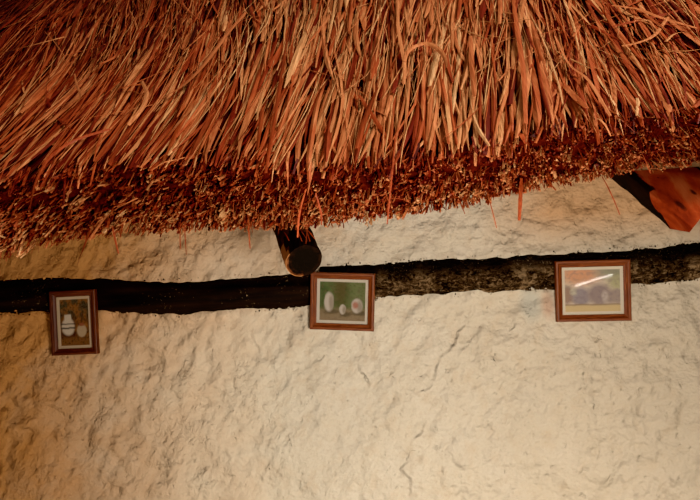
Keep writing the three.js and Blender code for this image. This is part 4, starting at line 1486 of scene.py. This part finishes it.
def paint_jars(p):
    """Two plain jars on an ochre shelf."""
    p.fill((0.17, 0.070, 0.020))
    p.cover(p.block(-1, 2, 0.62, 2, 0.1), (0.12, 0.09, 0.045))
    p.cover(p.speckle(6, 0.45, 0.6), (0.50, 0.20, 0.045), 0.7)
    p.cover(p.block(-1, 2, -1, 0.30, 0.03), (0.30, 0.13, 0.035))
    p.cover(p.speckle(20, 0.52, 0.62), (0.06, 0.02, 0.008), 0.6)
    p.cover(p.oval(0.36, 0.30, 0.24, 0.06, 0.5), (0.08, 0.02, 0.008), 0.8)
    p.cover(p.oval(0.34, 0.44, 0.17, 0.16), (0.88, 0.70, 0.52))
    p.cover(p.block(0.25, 0.43, 0.56, 0.66), (0.88, 0.70, 0.52))
    p.cover(p.block(0.15, 0.53, 0.40, 0.43), (0.02, 0.015, 0.015), 0.9)
    p.cover(p.block(0.15, 0.53, 0.48, 0.50), (0.02, 0.015, 0.015), 0.9)
    p.cover(p.oval(0.70, 0.36, 0.13, 0.11), (0.66, 0.46, 0.28))
    p.cover(p.block(0.64, 0.76, 0.44, 0.50), (0.42, 0.14, 0.06))


def paint_field(p):
    """A green field with pale standing stones beside a sandy track."""
    p.fill((0.10, 0.15, 0.05))
    p.cover(p.speckle(5, 0.40, 0.62), (0.20, 0.25, 0.10), 0.8)
    p.cover(p.block(0.66, 2, -1, 2, 0.10), (0.27, 0.28, 0.13), 0.6)
    p.cover(p.oval(0.48, 0.78, 0.12, 0.40, 0.5), (0.17, 0.12, 0.045), 0.7)
    p.cover(p.speckle(26, 0.55, 0.68), (0.05, 0.08, 0.02), 0.6)
    p.cover(p.block(-1, 2, -1, 0.36, 0.05), (0.36, 0.26, 0.155))
    p.cover(p.speckle(18, 0.50, 0.66), (0.22, 0.15, 0.09), 0.5)
    stones = [(0.27, 0.30, 0.085, 0.20), (0.52, 0.25, 0.06, 0.10), (0.78, 0.28, 0.10, 0.15)]
    for middle, foot, wide, high in stones:
        p.cover(p.oval(middle + 0.05, foot, 1.5 * wide, 0.05, 0.4), (0.10, 0.08, 0.04), 0.7)
        p.cover(p.oval(middle, foot + high, wide, high), (0.74, 0.63, 0.52))
        shade = p.oval(middle + 0.5 * wide, foot + 0.9 * high, 0.5 * wide, 0.8 * high, 0.4)
        p.cover(shade, (0.34, 0.27, 0.19), 0.7)
    p.cover(p.oval(0.75, 0.44, 0.05, 0.07, 0.4), (0.52, 0.16, 0.10), 0.8)


def paint_dusk(p):
    """A pale orange evening sky over hazy hills and stubble."""
    p.fill((0.92, 0.74, 0.55))
    p.cover(p.oval(0.32, 0.84, 0.30, 0.20, 0.4), (0.95, 0.48, 0.27))
    p.cover(p.oval(0.84, 0.90, 0.26, 0.16, 0.5), (0.42, 0.40, 0.27), 0.9)
    p.cover(p.oval(0.92, 0.66, 0.16, 0.14, 0.5), (0.58, 0.55, 0.28), 0.8)
    hills = [
        ((0.10, 0.44, 0.16, 0.17), (0.50, 0.33, 0.24)),
        ((0.34, 0.40, 0.14, 0.18), (0.46, 0.38, 0.38)),
        ((0.62, 0.44, 0.18, 0.20), (0.46, 0.35, 0.32)),
        ((0.88, 0.40, 0.15, 0.14), (0.52, 0.40, 0.34)),
    ]
    for hill, colour in hills:
        p.cover(p.oval(*hill, 0.25), colour)
    p.cover(p.oval(0.22, 0.50, 0.05, 0.07, 0.4), (0.80, 0.72, 0.52), 0.8)
    p.cover(p.oval(0.70, 0.40, 0.05, 0.10, 0.4), (0.80, 0.66, 0.56), 0.8)
    p.cover(p.speckle(15, 0.50, 0.60), (0.34, 0.26, 0.27), 0.35)
    p.cover(p.block(-1, 2, 0.22, 0.26, 0.01), (0.40, 0.26, 0.15), 0.8)
    p.cover(p.block(-1, 2, -1, 0.23, 0.02), (0.90, 0.66, 0.34))


PRINT_HIDDEN = 0.0055  # of a print's edge, under its moulding
PRINT_BORDER = 0.0085
PRINTS = [
    ("left", paint_jars, (0.82, 0.60, 0.40)),
    ("centre", paint_field, (0.86, 0.74, 0.60)),
    ("right", paint_dusk, (1.00, 0.86, 0.66)),
]


def print_material(name, design, border, size):
    material, n = new_material(f"{name}_print_colours", 0.7, Specular_IOR_Level=0.1)
    painter = Painter(n)
    design(painter)
    edge = PRINT_HIDDEN + PRINT_BORDER
    painter.border(edge / size[0], edge / size[1], border)
    n.colour(painter.colour)
    return material


def print_sheet(name, design, border):
    node = f"{name}_picture_print"
    centre, width, height, out = picture_axes(name)
    (x0, x1), (y0, y1), (z0, z1) = node_extents(node, centre, width, height, out)
    bm = bmesh.new()
    bmesh.ops.create_cube(bm, size=1)
    flat = [e for e in bm.edges if abs(e.verts[0].co.z - e.verts[1].co.z) < 0.5]
    bmesh.ops.subdivide_edges(bm, edges=flat, cuts=7, use_grid_fill=True)
    face_map = bm.loops.layers.uv.new("face")
    for face in bm.faces:
        for corner in face.loops:
            corner[face_map].uv = (corner.vert.co.x + 0.5, corner.vert.co.y + 0.5)
    for v in bm.verts:
        a, b, c = v.co
        curl = 0.0001 * math.sin(9 * a + 4 * b)
        v.co = (
            centre
            + width * (x0 + (x1 - x0) * (a + 0.5))
            + height * (y0 + (y1 - y0) * (b + 0.5))
            + out * (z0 + (z1 - z0) * (c + 0.5) + curl)
        )
    bmesh.ops.recalc_face_normals(bm, faces=bm.faces)
    material = print_material(name, design, border, (x1 - x0, y1 - y0))
    add_shape(f"{name}_print_sheet", bm, material, (node,), smooth=False)


def pictures():
    for name, design, border in PRINTS:
        moulding(name)
        print_sheet(name, design, border)
        finish_node(f"{name}_picture_glass", GLASS)
        finish_node(f"{name}_picture_backing", BOARD)
        finish_node(f"{name}_picture_nail", IRON)


# Camera, light and floor
CAMERA_PLACE = Vector((0.5, -2.25, 1.65))
CAMERA_PITCH = math.radians(9.5)
CAMERA_YAW = math.radians(5.0)
CAMERA_ROLL = math.radians(2.3)
FOCAL_PIXELS = 680
PHOTO_WIDTH = 700
SENSOR = 36


def camera():
    level_share = math.cos(CAMERA_PITCH)
    forward = Vector(
        (-math.sin(CAMERA_YAW) * level_share, math.cos(CAMERA_YAW) * level_share, math.sin(CAMERA_PITCH))
    )
    level = Vector((math.cos(CAMERA_YAW), math.sin(CAMERA_YAW), 0))
    upward = level.cross(forward)
    right = level * math.cos(CAMERA_ROLL) - upward * math.sin(CAMERA_ROLL)
    top = level * math.sin(CAMERA_ROLL) + upward * math.cos(CAMERA_ROLL)
    data = bpy.data.cameras.new("view")
    data.sensor_width = SENSOR
    data.lens = FOCAL_PIXELS / PHOTO_WIDTH * SENSOR
    data.clip_start = 0.05
    data.clip_end = 60
    eye = bpy.data.objects.new("view", data)
    eye.matrix_world = Matrix.Translation(CAMERA_PLACE) @ Matrix((right, top, -forward)).transposed().to_4x4()
    scene.collection.objects.link(eye)
    scene.camera = eye


def area_light(name, place, target, size, power, colour, flat=None):
    data = bpy.data.lights.new(name, "AREA")
    data.size = size
    if flat:
        data.shape = "RECTANGLE"
        data.size_y = flat
    data.energy = power
    data.color = colour
    lamp = bpy.data.objects.new(name, data)
    lamp.location = place
    lamp.rotation_euler = (Vector(target) - Vector(place)).to_track_quat("-Z", "Y").to_euler()
    lamp.visible_camera = False
    scene.collection.objects.link(lamp)


def studio():
    world = bpy.data.worlds.new("studio")
    world.use_nodes = True
    background = world.node_tree.nodes["Background"]
    background.inputs["Color"].default_value = (1.0, 0.80, 0.58, 1)
    background.inputs["Strength"].default_value = 0.15
    scene.world = world
    area_light("key", (0.76, -1.7, 1.49), (0.32, -0.25, 1.65), 0.28, 18.8, (1.0, 0.90, 0.78))
    area_light("thatch", (2.7, -2.3, 4.4), (0.2, -0.6, 2.4), 1.0, 140, (1.0, 0.90, 0.78))
    centre, _, height, out = picture_axes("right")
    seen = centre + 0.03 * height
    view = seen - CAMERA_PLACE
    glint = seen + view - 2 * view.dot(out) * out
    area_light("glint", glint, seen, 0.22, 0.36, (1.0, 0.92, 0.82), 0.012)
    bpy.data.objects["glint"].rotation_euler.rotate_axis("Z", math.radians(20))
    area_light("fill", (-3.5, -3.5, 4.5), (0, 0, 1.6), 3.0, 20, (1.0, 0.86, 0.70))
    area_light("back", (2.5, 4.5, 4.0), (0, 0, 1.6), 3.0, 160, (1.0, 0.94, 0.88))
    bm = bmesh.new()
    bmesh.ops.create_grid(bm, x_segments=4, y_segments=4, size=12)
    floor = bpy.data.objects.new("floor", mesh_from("floor", bm))
    floor.data.materials.append(floor_material())
    scene.collection.objects.link(floor)


# Each value of light, and how bright it is shown
TONES = [(0.004, 0.0005), (0.01, 0.0032), (0.022, 0.013), (0.05, 0.041), (0.12, 0.115), (0.25, 0.25)]


def view_tones():
    """Plain tones with a soft toe, so that shaded straw and timber stay deep and warm."""
    view = scene.view_settings
    view.view_transform = "Standard"
    view.use_curve_mapping = True
    curve = view.curve_mapping.curves[3]
    for value, shown in TONES:
        curve.points.new(value, shown)
    view.curve_mapping.update()


thatch()
battens()
rafters()
lashings()
wall_plates()
bond_logs()
masonry_wall()
pictures()
camera()
studio()
view_tones()
